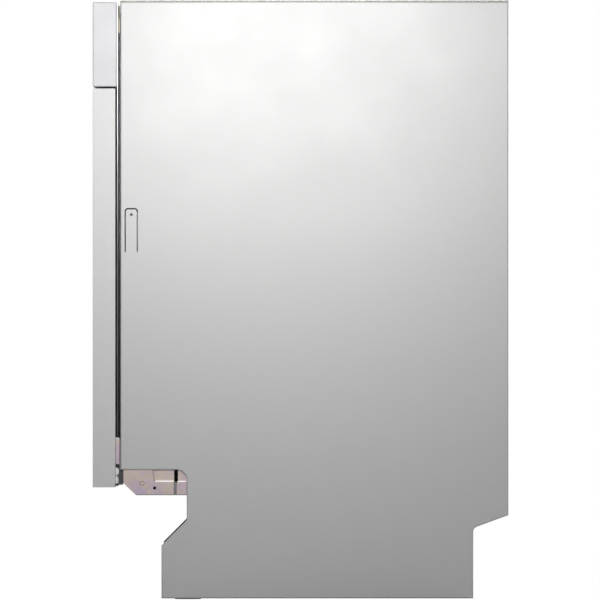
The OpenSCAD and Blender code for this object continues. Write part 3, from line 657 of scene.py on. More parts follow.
TAB_Y = back(52.8)
TAB_TOP, TAB_FOOT = 0.5356, 0.4757
TAB_HALF = 0.0092
TAB_SLOT = 0.0019  # width of the cut line
SHOULDER = 0.003
INNER_SHOULDER = 0.0036
TAB_HOLE_R = 0.0021
TAB_HOLE_DROP = 0.0091
CUT_INSIDE, CUT_OUTSIDE = 0.003, 0.002  # how far the cutters reach to either side of the panel's face


def build_tab_cut(bm, sign):
    """The inverted U with round shoulders and the screw hole under it."""
    half, inner_half, inner_top = TAB_HALF, TAB_HALF - TAB_SLOT, TAB_TOP - TAB_SLOT
    outer = [(-half, TAB_FOOT), (-half, TAB_TOP - SHOULDER), (SHOULDER - half, TAB_TOP),
             (half - SHOULDER, TAB_TOP), (half, TAB_TOP - SHOULDER), (half, TAB_FOOT)]
    inner = [(inner_half, TAB_FOOT), (inner_half, TAB_TOP - INNER_SHOULDER),
             (half - INNER_SHOULDER, inner_top), (INNER_SHOULDER - half, inner_top),
             (-inner_half, TAB_TOP - INNER_SHOULDER), (-inner_half, TAB_FOOT)]
    lo, hi = sorted((sign * (PANEL_X - CUT_INSIDE), sign * (PANEL_X + CUT_OUTSIDE)))
    add_prism(bm, [(TAB_Y + y, z) for y, z in outer + inner], "X", lo, hi)
    add_prism(bm, circle((TAB_Y, TAB_TOP - TAB_HOLE_DROP), TAB_HOLE_R, 24), "X", lo, hi)


for sign, node in ((1, "side_panel_right"), (-1, "side_panel_left")):
    panel = piece(node + "_sheet", "cabinet", SIDE,
                  lambda bm, s=sign: build_side(bm, s), [node])
    cut(panel, lambda bm, s=sign: build_tab_cut(bm, s), "tab_cut")

# ---------------- nodes that stay as they are

# Each node's finish, and how far its edges are rounded in millimetres
KEEP = {
    "rear_panel": (BACK, 0.5), "base_tray": (BLACK, 1.2),
    "hinge_brackets": (ZINC, 0.35), "hinge_pins": (ZINC, 0.4), "hinge_covers": (DARK, 0.4),
    "worktop_brackets": (BRACKET, 0.3), "door_catch": (BRIGHT, 0.4), "tub_wrapper": (TUB_Z, 0.3),
    "tub_rear_wall": (TUB_Z, 0.3), "tub_floor": (TUB_Y, 0.4),
    "sill_seal": (SEAL, 1.6), "upper_rack_rails": (RAIL, 0.5), "rail_sliders": (RAIL, 0.4),
    "sump": (BLACK, 1.0), "wash_pump": (PUMP, 2.0), "drain_pump": (PUMP, 2.0), "softener_tank": (WHITE, 3.0),
    "spray_feed_duct": (ARM, 2.0), "filter_plate": (TUB_Y, 0.3),
    "door_cords": (CORD, 0.4), "door_skin": (DOOR, 1.2),
    "grip_pocket": (DARK, 1.5), "display_window": (WINDOW, 0.4),
    "latch_housing": (BLACK, 1.0), "latch_pawl": (BRIGHT, 0.4), "dispenser_body": (DISPENSER, 1.2),
    "dispenser_lid": (DISPENSER, 0.6), "rinse_aid_cap": (CAP_BLUE, 0.8), "hinge_arms": (ZINC, 0.3),
    "corner_guides": (WHITE, 0.6), "button_power": (KEY, 0.8), "button_program": (KEY, 0.8),
    "button_option": (KEY, 0.8), "button_start": (KEY, 0.8),
    "upper_arm_conduit": (ARM, 1.5), "salt_cap": (DARK, 1.2),
}
for node, (material, width) in KEEP.items():
    soften(node, material, width)

# ---------------- racks

WIRE_R = 0.0016
RIM_SHARE = 1.35  # the top ring's wire is thicker by this
RACK_CORNER = 0.014
RACK_Y = (back(100), back(504))
RACK_X = {"lower_rack": 0.2522, "upper_rack": 0.2462}
FLOOR_LENGTHS, FLOOR_CROSSES, SIDE_POSTS = 12, 8, 6  # spaces between the wires of a rack
CROSS_DROP = 0.001


def loop_path(x, y0, y1, z, radius, steps=6):
    """A level rounded rectangle."""
    corners = [((x - radius, y1 - radius), 0), ((-x + radius, y1 - radius), 90),
               ((-x + radius, y0 + radius), 180), ((x - radius, y0 + radius), 270)]
    return [(px, py, z) for centre, start in corners
            for px, py in arc(centre, radius, start, start + 90, steps)]


def build_rack(bm, node, floor_z, step, levels):
    """Wire basket: floor grid, uprights, and level rings with round corners."""
    x = RACK_X[node]
    y0, y1 = RACK_Y
    top = floor_z + step * levels
    under = floor_z - CROSS_DROP
    for i in range(FLOOR_LENGTHS + 1):
        px = -x + 2 * x * i / FLOOR_LENGTHS
        add_tube(bm, [(px, y0, floor_z), (px, y1, floor_z)], WIRE_R)
    for i in range(FLOOR_CROSSES + 1):
        py = y0 + (y1 - y0) * i / FLOOR_CROSSES
        add_tube(bm, [(-x, py, under), (x, py, under)], WIRE_R)
    for i in range(1, FLOOR_CROSSES):
        px = -x + 2 * x * i / FLOOR_CROSSES
        for py in (y0, y1):
            add_tube(bm, [(px, py, under), (px, py, top)], WIRE_R)
    for i in range(1, SIDE_POSTS):
        py = y0 + (y1 - y0) * i / SIDE_POSTS
        for px in (-x, x):
            add_tube(bm, [(px, py, under), (px, py, top)], WIRE_R)
    for i in range(levels + 1):
        thick = RIM_SHARE if i == levels else 1.0
        add_tube(bm, loop_path(x, y0, y1, floor_z + step * i, RACK_CORNER), WIRE_R * thick, closed=True)


WHEEL_Y = [middle("front_wheels").y, middle("rear_wheels").y]
WHEEL_Z = middle("front_wheels").z
WHEEL_X = high("front_wheels").x
WHEEL_WIDE = 0.008
CARRIER_X = (0.2502, 0.2532)
CARRIER_TOP = 0.2034
CARRIER_HALF = 0.010
CARRIER_R = 0.008


def build_carriers(bm):
    """Plastic carriers that clip under the floor wires and hold the axles."""
    for s in (-1, 1):
        for y in WHEEL_Y:
            x0, x1 = sorted((s * CARRIER_X[0], s * CARRIER_X[1]))
            neck = WHEEL_Z + 0.006
            outline = [(y - CARRIER_HALF, CARRIER_TOP), (y - CARRIER_HALF, neck)]
            outline += arc((y, WHEEL_Z), CARRIER_R, 180, 360)
            outline += [(y + CARRIER_HALF, neck), (y + CARRIER_HALF, CARRIER_TOP)]
            add_prism(bm, outline, "X", x0, x1, 0.0006)
            axle = [(0, 0), (0.0040, 0), (0.0040, 0.0085), (0.0032, 0.0092), (0, 0.0092)]
            add_lathe(bm, [(r, s * h) for r, h in axle], (s * (CARRIER_X[1] - 0.0004), y, WHEEL_Z), "X", 24)


piece("lower_rack_wires", "lower_basket", NYLON,
      lambda bm: build_rack(bm, "lower_rack", 0.205, 0.035, 3), ["lower_rack"])
piece("wheel_carriers", "lower_basket", RACK_GREY, build_carriers)
piece("upper_rack_wires", "upper_basket", NYLON,
      lambda bm: build_rack(bm, "upper_rack", 0.532, 0.05, 2), ["upper_rack"])


def build_shoes(bm):
    """Blocks that run inside the middle rails."""
    for d in (98, 484):
        add_pair(bm, (0.2478, 0.2588), (back(d - 12), back(d + 12)), (0.5818, 0.5882), 0.0012)


piece("upper_rack_shoes", "upper_basket", RACK_GREY, build_shoes)

TINE_STEP = 0.026
TINES = 7


def build_plate_tines(bm):
    """Three rows of round tines welded to their base wires."""
    lo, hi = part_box("plate_tines")
    for k in range(3):
        y = back(279.5 + 60 * k)
        add_tube(bm, [(0.02, y, lo.z + 0.002), (0.2, y, lo.z + 0.002)], 0.0019)
        for i in range(TINES):
            x = 0.024 + TINE_STEP * i
            add_tube(bm, [(x, y, lo.z + 0.001), (x, y, hi.z - 0.0016), (x, y, hi.z - 0.0004)], WIRE_R)


def build_folding_tines(bm):
    """One row of tines on hubs, on the shaft that it folds about."""
    lo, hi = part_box("folding_tines")
    y, z = back(269.5), lo.z + 0.003
    add_tube(bm, [(-0.2, y, z), (-0.015, y, z)], 0.003, 12)
    for i in range(TINES):
        x = -0.19 + TINE_STEP * i
        add_tube(bm, [(x, y, z), (x, y, hi.z - 0.0004)], WIRE_R)
        hub = [(0, -0.004), (0.0042, -0.004), (0.0046, -0.003), (0.0046, 0.003), (0.0042, 0.004), (0, 0.004)]
        add_lathe(bm, hub, (x, y, z), "X", 16)


piece("plate_tine_rows", "lower_basket", NYLON, build_plate_tines, ["plate_tines"])
piece("folding_tine_row", "tines", RACK_GREY, build_folding_tines, ["folding_tines"])


def build_cutlery(bm):
    """Two lattice cells with a rim, a floor grid and slatted walls."""
    lo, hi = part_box("cutlery_basket")
    xm = (lo.x + hi.x) / 2
    t = 0.0028
    for z0, z1 in ((lo.z, lo.z + 0.005), (lo.z + 0.052, lo.z + 0.057), (hi.z - 0.009, hi.z)):
        add_box(bm, (lo.x, lo.y, z0), (hi.x, lo.y + t, z1), 0.0008)
        add_box(bm, (lo.x, hi.y - t, z0), (hi.x, hi.y, z1), 0.0008)
        for x in (lo.x, xm - t / 2, hi.x - t):
            add_box(bm, (x, lo.y, z0), (x + t, hi.y, z1), 0.0008)
    count = 20
    for i in range(count + 1):
        x = lo.x + 0.001 + (hi.x - lo.x - 0.0042) * i / count
        for y in (lo.y + 0.0003, hi.y - 0.0023):
            add_box(bm, (x, y, lo.z + 0.001), (x + 0.0022, y + 0.002, hi.z - 0.001))
        add_box(bm, (x, lo.y + 0.001, lo.z), (x + 0.0022, hi.y - 0.001, lo.z + 0.0024))
    for i in range(1, 10):
        y = lo.y + (hi.y - lo.y) * i / 10
        for x in (lo.x + 0.0003, xm - 0.001, hi.x - 0.0023):
            add_box(bm, (x, y - 0.0011, lo.z + 0.001), (x + 0.002, y + 0.0011, hi.z - 0.001))
        add_box(bm, (lo.x + 0.001, y - 0.001, lo.z + 0.0003), (hi.x - 0.001, y + 0.001, lo.z + 0.0027))


piece("cutlery_lattice", "cutlery", RACK_GREY, build_cutlery, ["cutlery_basket"])


def build_wheels(bm, node):
    """Rollers with a tread, a dished side and a bore for the axle."""
    centre = middle(node)
    x0, x1 = WHEEL_X - WHEEL_WIDE, WHEEL_X
    half = [(0.00405, 0.0), (0.0062, 0.0), (0.0066, 0.0016), (0.0112, 0.0016), (0.0122, 0.0),
            (0.0142, 0.0), (0.015, 0.0008)]
    profile = half + [(r, WHEEL_WIDE - h) for r, h in reversed(half)]
    for s in (-1, 1):
        add_lathe(bm, [(r, s * h) for r, h in profile], (s * x0, centre.y, centre.z), "X", 48)
        for y, z in circle((centre.y, centre.z), 0.009, 5):
            lo, hi = sorted((s * (x0 + 0.0008), s * (x1 - 0.0008)))
            add_box(bm, (lo, y - 0.001, z - 0.001), (hi, y + 0.001, z + 0.001), 0.0005)


for node, body in (("front_wheels", "wheels_front"), ("rear_wheels", "wheels_rear")):
    piece(node + "_pair", body, RACK_GREY, lambda bm, n=node: build_wheels(bm, n), [node])


def build_shelf(bm):
    """Cup shelf: slats between a hinge shaft and a front bar."""
    lo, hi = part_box("cup_shelf")
    z = (lo.z + hi.z) / 2
    shaft_r, bar_r = 0.0035, 0.002
    x0, x1 = lo.x + shaft_r, hi.x - bar_r
    add_tube(bm, [(x0, lo.y, z), (x0, hi.y, z)], shaft_r, 14)
    add_tube(bm, [(x1, lo.y + 0.005, z), (x1, hi.y - 0.005, z)], bar_r, 12)
    for i in range(9):
        y = lo.y + 0.007 + (hi.y - lo.y - 0.014) * i / 8
        mid = (x0 + hi.x) / 2
        add_tube(bm, [(x0, y, z), (mid, y, z - 0.0004), (x1, y, z)], 0.0019, 10)


piece("cup_shelf_bars", "shelf", RACK_GREY, build_shelf, ["cup_shelf"])

# ---------------- spray arms, filter and feet


def build_arm(bm, node, bore):
    """Crowned, slightly tapered blade with round tips, a hub and a row of jets on each wing."""
    lo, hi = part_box(node)
    c = middle(node)
    z0, z1 = lo.z + 0.003, hi.z - 0.003
    reach = (hi.x - lo.x) / 2
    rings = []
    count, around = 40, 20
    tip_r, hub_r = 0.018, 0.0178
    for i in range(count + 1):
        u = -1 + 2 * i / count
        x = math.sin(u * math.pi / 2) * reach
        tip = max(0.0, (abs(x) - (reach - tip_r)) / tip_r)
        half = tip_r * math.sqrt(max(0.0004, 1 - tip * tip)) * (1 - 0.18 * abs(x) / reach)
        rise = (z1 - z0) * (1 - 0.25 * tip)
        ring = []
        for k in range(around):
            a = 2 * math.pi * k / around
            ca, sa = math.cos(a), math.sin(a)
            y = math.copysign(abs(ca) ** 0.75, ca) * half
            z = (z0 + z1) / 2 + math.copysign(abs(sa) ** 0.75, sa) * rise / 2
            ring.append(bm.verts.new((c.x + x, c.y + y, z)))
        rings.append(ring)
    for one, two in zip(rings, rings[1:]):
        for k in range(around):
            m = (k + 1) % around
            bm.faces.new((one[k], one[m], two[m], two[k]))
    bm.faces.new(rings[0])
    bm.faces.new(list(reversed(rings[-1])))
    tall = hi.z - lo.z
    add_lathe(bm, [(bore, 0), (0.0165, 0), (hub_r, 0.0012), (hub_r, tall - 0.003), (0.0150, tall - 0.0004),
                   (0.0120, tall), (bore, tall)], (c.x, c.y, lo.z), "Z", 40)
    jet = [(0.0010, -0.001), (0.0036, -0.001), (0.0034, 0.0006), (0.0022, 0.0011), (0.0010, 0.0008)]
    for s in (-1, 1):
        for i in range(1, 7):
            add_lathe(bm, jet, (c.x + s * (0.03 + 0.026 * i), c.y + 0.005 * s, z1 - 0.0003), "Z", 16)


HUB_BORE_R = 0.00605
for place in ("lower", "upper"):
    node = place + "_spray_arm"
    piece(place + "_spray_blade", place + "_arm", ARM,
          lambda bm, n=node: build_arm(bm, n, HUB_BORE_R), [node], 30)


def build_filter(bm):
    """Gauze tube between two rings, with ribs."""
    lo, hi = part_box("filter_cylinder")
    c = middle("filter_cylinder")
    r = 0.0354
    h = hi.z - lo.z
    gauze_r, inner_r, base = r - 0.0012, r - 0.0042, 0.004
    add_lathe(bm, [(0.0, 0.0), (r, 0.0), (r, 0.010), (gauze_r, 0.012), (gauze_r, h - 0.024), (r, h - 0.022),
                   (r, h - 0.0012), (gauze_r, h), (inner_r, h), (inner_r, base), (0.0, base)],
              (c.x, c.y, lo.z), "Z", 56)
    for x, y in circle((c.x, c.y), r - 0.0006, 8):
        add_tube(bm, [(x, y, lo.z + 0.006), (x, y, hi.z - 0.010)], 0.0012, 8)


def build_filter_rim(bm):
    """The rim that is gripped to turn the filter, with its raised marks."""
    c = middle("filter_cylinder")
    ring, mark = 0.1416, 0.0014
    add_lathe(bm, [(0.0355, ring), (0.0412, ring), (0.042, ring + 0.001), (0.0416, ring + 0.0042),
                   (0.039, ring + 0.005), (0.0355, ring + 0.005)], (c.x, c.y, 0), "Z", 56)
    for x, y in circle((c.x, c.y), 0.0395, 12):
        add_box(bm, (x - mark, y - mark, ring + 0.003), (x + mark, y + mark, ring + 0.0056), 0.0005)


piece("filter_gauze", "filter", GAUZE, build_filter, ["filter_cylinder"])
piece("filter_rim", "filter", ARM, build_filter_rim)


def build_foot(bm, node):
    """Ribbed foot pad, hexagonal collar and a rolled thread."""
    lo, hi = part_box(node)
    c = middle(node)
    profile = [(0, 0), (0.0175, 0), (0.019, 0.0012), (0.019, 0.0038), (0.0178, 0.005), (0.0105, 0.005),
               (0.0105, 0.0052), (0.0060, 0.0052)]
    z, pitch = 0.012, 0.0015
    top = hi.z - lo.z
    while z < top - 0.003:
        profile += [(0.0060, z), (0.0053, z + pitch / 2)]
        z += pitch
    profile += [(0.0058, top - 0.0012), (0.0048, top), (0, top)]
    add_lathe(bm, profile, (c.x, c.y, lo.z), "Z", 32)
    add_prism(bm, circle((c.x, c.y), 0.0092, 6), "Z", lo.z + 0.0048, lo.z + 0.0075, 0.0005)


for node, body in (("foot_front_right", "foot_right"), ("foot_front_left", "foot_left"),
                   ("foot_rear", "foot_back")):
    piece(node + "_screw", body, DARK, lambda bm, n=node: build_foot(bm, n), [node])

# ---------------- springs and seals


def build_springs(bm):
    """Close-wound tension springs with a straight end at each side of the coil."""
    lo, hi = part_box("door_springs")
    z = (lo.z + hi.z) / 2
    y0, length = back(168.2), 0.210
    turns, per_turn = 84, 10
    coil_r, wire_r, end_r = 0.0046, 0.0009, 0.0013
    for s in (-1, 1):
        x = s * 0.2882
        path = []
        for i in range(turns * per_turn + 1):
            a = 2 * math.pi * i / per_turn
            path.append((x + coil_r * math.cos(a), y0 + 0.001 + (length - 0.002) * i / (turns * per_turn),
                         z + coil_r * math.sin(a)))
        add_tube(bm, path, wire_r, 6)
        add_tube(bm, [(x, y0 + length - 0.004, z), (x, hi.y, z)], end_r, 10)
        add_tube(bm, [(x, y0 - 0.0002, z), (x, y0 + 0.006, z)], end_r, 10)


piece("tension_springs", "cabinet", SPRING, build_springs, ["door_springs"])


def build_gasket(bm):
    """Hollow-bulb seal on its foot, bent round the tub's mouth."""
    lo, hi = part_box("tub_gasket")
    y = (lo.y + hi.y) / 2

    def mouth(x, top, radius):
        path = [(-x, lo.z), (-x, top - radius)]
        path += arc((-x + radius, top - radius), radius, 180, 90, 8)
        path += arc((x - radius, top - radius), radius, 90, 0, 8)
        return [(px, y, pz) for px, pz in path + [(x, top - radius), (x, lo.z)]]

    add_tube(bm, mouth(hi.x - 0.0062, hi.z - 0.0062, 0.012), 0.0042, 14)
    add_tube(bm, mouth(hi.x - 0.0022, hi.z - 0.0022, 0.015), 0.0021, 10)


piece("mouth_seal", "cabinet", SEAL, build_gasket, ["tub_gasket"])

# ---------------- inner door

FIELD_X = 0.2622
RIM_FRONT = back(33.5)
RIM_BACK = back(34.5)
FIELD_BACK = back(67.8)


def build_liner_rim(bm):
    lo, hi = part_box("door_liner")
    add_box(bm, (lo.x, RIM_FRONT, lo.z), (hi.x, RIM_BACK, hi.z), 0.0003, 1)


def build_liner_field(bm):
    add_box(bm, (-FIELD_X, RIM_FRONT + 0.0004, 0.171), (FIELD_X, FIELD_BACK, 0.7824), 0.009, 5)


def build_liner_cut(bm):
    """The hole for the dispenser."""
    lo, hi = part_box("dispenser_body")
    slack = 0.0002
    add_box(bm, (lo.x - slack, RIM_FRONT - 0.004, lo.z - slack),
            (hi.x + slack, FIELD_BACK + 0.01, hi.z + slack))


def build_rim_cut(bm):
    """Slots for the hinge arms, and the notch for the latch."""
    through = (RIM_FRONT - 0.002, RIM_BACK + 0.002)
    add_pair(bm, (0.2817, 0.2922), through, (0.140, 0.226))
    add_box(bm, (-0.014, through[0], 0.7984), (0.014, through[1], 0.83))


liner = piece("liner_rim", "door", TUB_Z, build_liner_rim, ["door_liner"])
cut(liner, build_rim_cut, "rim_cut")
field = piece("liner_field", "door", TUB_Z, build_liner_field)
cut(field, build_liner_cut, "field_cut")


def build_liner_beads(bm):
    """Pressed beads that stiffen the inner door."""
    r = 0.02
    for x0, x1, z0, z1 in ((-0.235, -0.135, 0.19, 0.76), (0.095, 0.235, 0.19, 0.76),
                           (-0.115, 0.075, 0.19, 0.36), (-0.115, 0.075, 0.56, 0.76)):
        path = arc((x1 - r, z1 - r), r, 0, 90, 6) + arc((x0 + r, z1 - r), r, 90, 180, 6)
        path += arc((x0 + r, z0 + r), r, 180, 270, 6) + arc((x1 - r, z0 + r), r, 270, 360, 6)
        add_tube(bm, [(x, FIELD_BACK - 0.0006, z) for x, z in path], 0.0013, 8, closed=True)


piece("liner_beads", "door", TUB_Z, build_liner_beads)

# ---------------- cover, back sheet and connections


def build_cover(bm):
    lo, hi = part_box("top_cover")
    add_box(bm, lo, hi, 0.0008)


def build_cover_cut(bm):
    """Corners cut out for the worktop brackets, and three sunk fields."""
    lo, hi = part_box("top_cover")
    add_pair(bm, (0.2668, 0.2932), (lo.y - 0.004, back(80)), (lo.z - 0.002, hi.z + 0.002))
    for k in range(3):
        x = -0.19 + 0.19 * k
        add_box(bm, (x - 0.075, back(110), hi.z - 0.0007), (x + 0.075, back(520), hi.z + 0.01), 0.004, 3)


cover = piece("cover_sheet", "cabinet", COVER, build_cover, ["top_cover"])
cut(cover, build_cover_cut, "cover_cut")

REAR_Y = back(567.3)


def build_rear_beads(bm):
    """Pressed panels in the back sheet."""
    for x in (-0.18, 0, 0.18):
        for z0, z1 in ((0.165, 0.46), (0.5, 0.77)):
            add_box(bm, (x - 0.07, REAR_Y - 0.006, z0), (x + 0.07, REAR_Y + 0.0011, z1), 0.005, 3)


def build_rear_screws(bm):
    """Heads of the screws along the back sheet's edges."""
    head = [(0, 0.0014), (0.0012, 0.0014), (0.0012, 0.0008), (0.0034, 0.0010), (0.0042, 0.0004),
            (0.0042, -0.0006), (0, -0.0006)]
    for x in (-0.287, 0.287):
        for z in (0.15, 0.32, 0.5, 0.68, 0.8):
            add_lathe(bm, head, (x, REAR_Y, z), "Y", 20)


piece("rear_beads", "cabinet", BACK, build_rear_beads)
piece("rear_screws", "cabinet", BRIGHT, build_rear_screws)


def build_inlet(bm):
    """Valve body with a cast thread for the supply hose."""
    lo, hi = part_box("inlet_valve")
    c = middle("inlet_valve")
    length = hi.y - lo.y
    profile = [(0, 0), (0.0185, 0), (0.02, 0.0015), (0.02, 0.0385), (0.0185, 0.04), (0.0132, 0.04)]
    place, pitch = 0.047, 0.00181  # a pipe thread's
    while place < length - 0.003:
        profile += [(0.0132, place), (0.0121, place + 0.00091)]
        place += pitch
    profile += [(0.0122, length), (0.008, length), (0.008, length - 0.033), (0, length - 0.033)]
    add_lathe(bm, profile, (c.x, lo.y, c.z), "Y", 48)


def build_drain(bm):
    """Hose spigot with its barbs."""
    lo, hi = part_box("drain_port")
    c = middle("drain_port")
    length = hi.y - lo.y
    profile = [(0.008, 0.004), (0.0155, 0.004), (0.0155, 0.017), (0.0098, 0.018)]
    place = 0.030
    while place < length - 0.006:
        profile += [(0.0098, place), (0.0105, place + 0.0004), (0.0098, place + 0.0048)]
        place += 0.0062
    profile += [(0.0098, length - 0.0008), (0.0092, length), (0.008, length)]
    add_lathe(bm, profile, (c.x, lo.y, c.z), "Y", 48)


def build_mains(bm):
    """Cable gland: a flange, a ribbed nut and the bore for the lead."""
    lo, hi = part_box("mains_inlet")
    c = middle("mains_inlet")
    length = hi.y - lo.y
    flange = back(476.8) - lo.y
    add_lathe(bm, [(0.0038, 0), (0.0086, 0), (0.0086, flange), (0.0112, flange), (0.012, flange + 0.0008),
                   (0.012, flange + 0.0032), (0.0112, flange + 0.004), (0.0084, flange + 0.004),
                   (0.0078, length - 0.001), (0.0068, length), (0.0038, length)], (c.x, lo.y, c.z), "Y", 40)
    rib = 0.0008
    for x, z in circle((c.x, c.z), 0.008, 12):
        add_box(bm, (x - rib, lo.y + flange + 0.003, z - rib), (x + rib, hi.y - 0.001, z + rib), 0.0003, 1)


piece("inlet_fitting", "cabinet", WHITE, build_inlet, ["inlet_valve"], 30)
piece("drain_spigot", "cabinet", BLACK, build_drain, ["drain_port"], 30)
piece("mains_gland", "cabinet", BLACK, build_mains, ["mains_inlet"], 30)

# ---------------- hinge corner and gap

CHEEK = high("hinge_brackets").x  # outer face of the bracket
OVER = CHEEK + 0.00005  # where a layer on that face begins
EDGE = 0.2961  # just outside the door liner's side edge
FACE = 0.2973
MOUTH = 0.2934  # outer side of the tub's mouth
ROUND = 0.0003


def d_shape(d0, d1, z0, z1):
    """Flat in front and round behind."""
    flat = 1.5
    centre, half = (z0 + z1) / 2, (z1 - z0) / 2
    bend = [math.radians(-90 + 18 * k) for k in range(11)]
    return [(d0, z0)] + [(d0 + flat + (d1 - d0 - flat) * math.cos(a), centre + half * math.sin(a))
                         for a in bend] + [(d0, z1)]


def plate(d0, d1, z0, z1):
    return [(d0, z0), (d1, z0), (d1, z1), (d0, z1)]


def build_plates(bm, plates):
    """Thin plates on both sides of the machine, from outlines of depth and height in millimetres."""
    for outline, start, end, radius in plates:
        for s in (-1, 1):
            lo, hi = sorted((s * start, s * end))
            add_prism(bm, [(back(d), z * MM) for d, z in outline], "X", lo, hi, radius)


def build_bracket_hole_shade(bm):
    """Painted shade: near-black pieces in the bracket's open slot and its hole, and a dark ring for the
    groove round the end of the hinge pin.
    """
    build_plates(bm, [(plate(111.8, 116.6, 162.0, 178.4), OVER, CHEEK + 0.0004, ROUND)])
    hole_r, hole_rise, pin_groove_shade_r = 0.0021, 0.00055, 0.0028
    for s in (-1, 1):
        add_lathe(bm, [(0, 0), (hole_r, 0), (hole_r, s * hole_rise), (0, s * hole_rise)],
                  (s * (CHEEK + 0.0008), back(84.7), 0.1526), "X", 24)
        ring = [(s * (CHEEK + 0.00125), y, z) for y, z in circle((back(67.7), 0.1594), pin_groove_shade_r, 32)]
        add_tube(bm, ring, ROUND, 6, closed=True)


# Each piece's body, slot and finish; then its builder, or for each plate its outline, the X of both faces
# and its rounding
PLATES = {
    "bracket_layer": ("cabinet", "zinc", ZINC, [
        ([(42.3, 178.6), (42.3, 158.9), (59.7, 142.9), (110.8, 142.9), (110.8, 161.0), (85.3, 161.0),
          (82.0, 178.6)], OVER, CHEEK + 0.0010, ROUND),
        (plate(114.9, 128.3, 142.9, 160.6), OVER, CHEEK + 0.0008, ROUND)]),
    # Painted highlight: white glowing strips along the bracket's folds, standing for light caught on the
    # bends.
    "bracket_fold_painted_highlight": ("cabinet", "zinc", ZINC_PAINTED_HIGHLIGHT, [
        (plate(85.4, 110.6, 161.0, 162.6), OVER, CHEEK + 0.0018, ROUND),
        (plate(116.8, 128.0, 160.7, 162.2), OVER, CHEEK + 0.0018, ROUND)]),
    # Painted shade: dark strips under the bracket's lip and beside its slot, and a shadow line along the
    # layer's slanted step.
    "bracket_foot": ("cabinet", "zinc", ZINC_PAINTED_SHADE, [
        (plate(59.7, 128.4, 142.7, 143.9), CHEEK + 0.0010, CHEEK + 0.0019, ROUND),
        (plate(111.0, 114.7, 143.9, 160.8), OVER, CHEEK + 0.0005, ROUND),
        ([(84.4, 161.2), (85.4, 161.2), (82.1, 178.5), (81.1, 178.5)],
         CHEEK + 0.00102, CHEEK + 0.0013, 0.0001)]),
    "bracket_hole_shade": ("cabinet", "base_plastic", PAINTED_HOLE_SHADE, build_bracket_hole_shade),
    "hinge_strip": ("door", "zinc", ZINC, [(plate(31.4, 36.6, 185.4, 218.6), EDGE, FACE, ROUND)]),
    "corner_pads": ("door", "white_plastic", PAD, [
        (plate(31.4, 36.4, 218.8, 221.4), EDGE, FACE, ROUND),
        (d_shape(31.3, 35.9, 170.4, 180.4), EDGE, FACE + 0.0001, ROUND),
        (d_shape(31.3, 34.9, 158.4, 169.4), EDGE, FACE + 0.0001, ROUND)]),
    "corner_block": ("door", "base_plastic", BLACK, [
        (plate(31.3, 36.7, 181.0, 185.0), EDGE, FACE + 0.0001, ROUND)]),
    "gap_clip": ("cabinet", "white_plastic", BEIGE, [
        (plate(35.1, 37.3, 777.8, 790.4), MOUTH, 0.2966, 0.0005)]),
    "gap_plate": ("cabinet", "zinc", OLIVE, [
        (plate(35.0, 37.4, 796.5, 812.0), MOUTH, 0.2962, 0.0004),
        (plate(35.3, 36.6, 792.0, 796.4), MOUTH, 0.2950, 0.0004)]),
}
for name, (body, slot, material, make) in PLATES.items():
    piece(name, body, material, make if callable(make) else lambda bm, p=make: build_plates(bm, p))

# ---------------- marks on the console

KEYS = (("power", "key_power", -0.255), ("program", "key_program", -0.210), ("option", "key_option", 0.220),
        ("start", "key_start", 0.260))
KEY_Z = 0.768
MARK_Y = low("button_power").y + 0.0003
MARK_R = 0.00035
REACH = 0.0034  # from the middle of a sign to its end
OPENING = 70  # degrees that the power ring stays open at its top


def build_mark(bm, kind, x):
    """A raised sign on a key: a ring with a bar, three lines, a cross or a triangle."""

    def bar(x0, z0, x1, z1):
        add_tube(bm, [(x + x0, MARK_Y, KEY_Z + z0), (x + x1, MARK_Y, KEY_Z + z1)], MARK_R, 6)

    if kind == "power":
        ring = arc((x, KEY_Z), REACH, 90 + OPENING / 2, 450 - OPENING / 2, 28)
        add_tube(bm, [(px, MARK_Y, pz) for px, pz in ring], MARK_R, 6)
        bar(0, 0.0004, 0, 0.0046)
    elif kind == "program":
        for z in (-0.0024, 0, 0.0024):
            bar(-REACH, z, REACH, z)
    elif kind == "option":
        bar(-REACH, 0, REACH, 0)
        bar(0, -REACH, 0, REACH)
    else:
        corners = ((-0.0022, -0.0032), (-0.0022, 0.0032), (0.0036, 0))
        add_tube(bm, [(x + px, MARK_Y, KEY_Z + pz) for px, pz in corners], MARK_R, 6, closed=True)


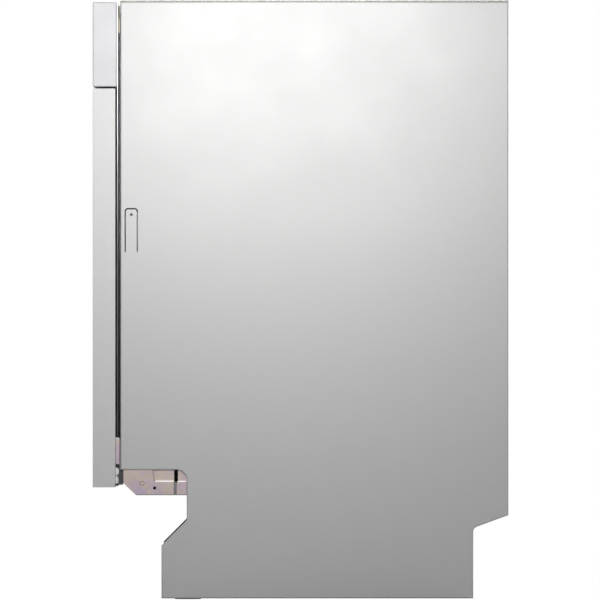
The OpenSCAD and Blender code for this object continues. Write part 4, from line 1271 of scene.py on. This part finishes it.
for kind, body, x in KEYS:
    piece("mark_" + kind, body, MARK, lambda bm, k=kind, p=x: build_mark(bm, k, p))


def build_lamps(bm):
    """A row of indicator lamps in the window's face."""
    lo = low("display_window")
    lamp = [(0, -0.00012), (0.0011, -0.00008), (0.0013, 0.0006), (0, 0.0006)]
    for k in range(6):
        add_lathe(bm, lamp, (lo.x + 0.014 + 0.011 * k, lo.y, KEY_Z), "Y", 16)


piece("window_lamps", "door", GLOW, build_lamps)

# ---------------- console

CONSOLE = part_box("console_fascia")
WALL = 0.0025


def build_console(bm):
    add_box(bm, CONSOLE[0], CONSOLE[1], 0.0018, 3)


def build_console_hollow(bm):
    """What is taken out of the shell: its inside, the grip, the window and the key holes."""
    lo, hi = CONSOLE
    through = (lo.y - 0.01, lo.y + 0.01)
    add_box(bm, (lo.x + WALL, lo.y + WALL, lo.z + WALL), (hi.x - WALL, hi.y + 0.01, hi.z - WALL))
    add_box(bm, (-0.092, through[0], 0.7385), (0.092, through[1], 0.7895), 0.003, 3)
    add_box(bm, (0.112, through[0], KEY_Z - 0.014), (0.196, through[1], KEY_Z + 0.014), 0.0012, 2)
    key_hole = [(0, 0), (0.0094, 0), (0.0094, 0.02), (0, 0.02)]
    for _, _, x in KEYS:
        add_lathe(bm, key_hole, (x, through[0], KEY_Z), "Y", 48)


def build_console_seams(bm):
    """Seams round the end caps, a parting line under the top, and the small moulding notch beside it."""
    lo, hi = CONSOLE
    past = 0.002
    side = (hi.x - 0.0009, hi.x + past)
    add_pair(bm, side, (lo.y - past, hi.y + past), (hi.z - 0.0040, hi.z - 0.0031))
    add_pair(bm, side, (lo.y + 0.0118, lo.y + 0.0142), (hi.z - 0.0034, hi.z - 0.0016))
    add_pair(bm, side, (hi.y - 0.0022, hi.y - 0.0017), (lo.z - past, hi.z + past))
    add_pair(bm, (0.2845, 0.2849), (lo.y - past, lo.y + 0.0004), (lo.z - past, hi.z + past))


console = piece("console_shell", "door", SILVER, build_console, ["console_fascia"])
cut(console, build_console_hollow, "console_hollow")
cut(console, build_console_seams, "console_seams")
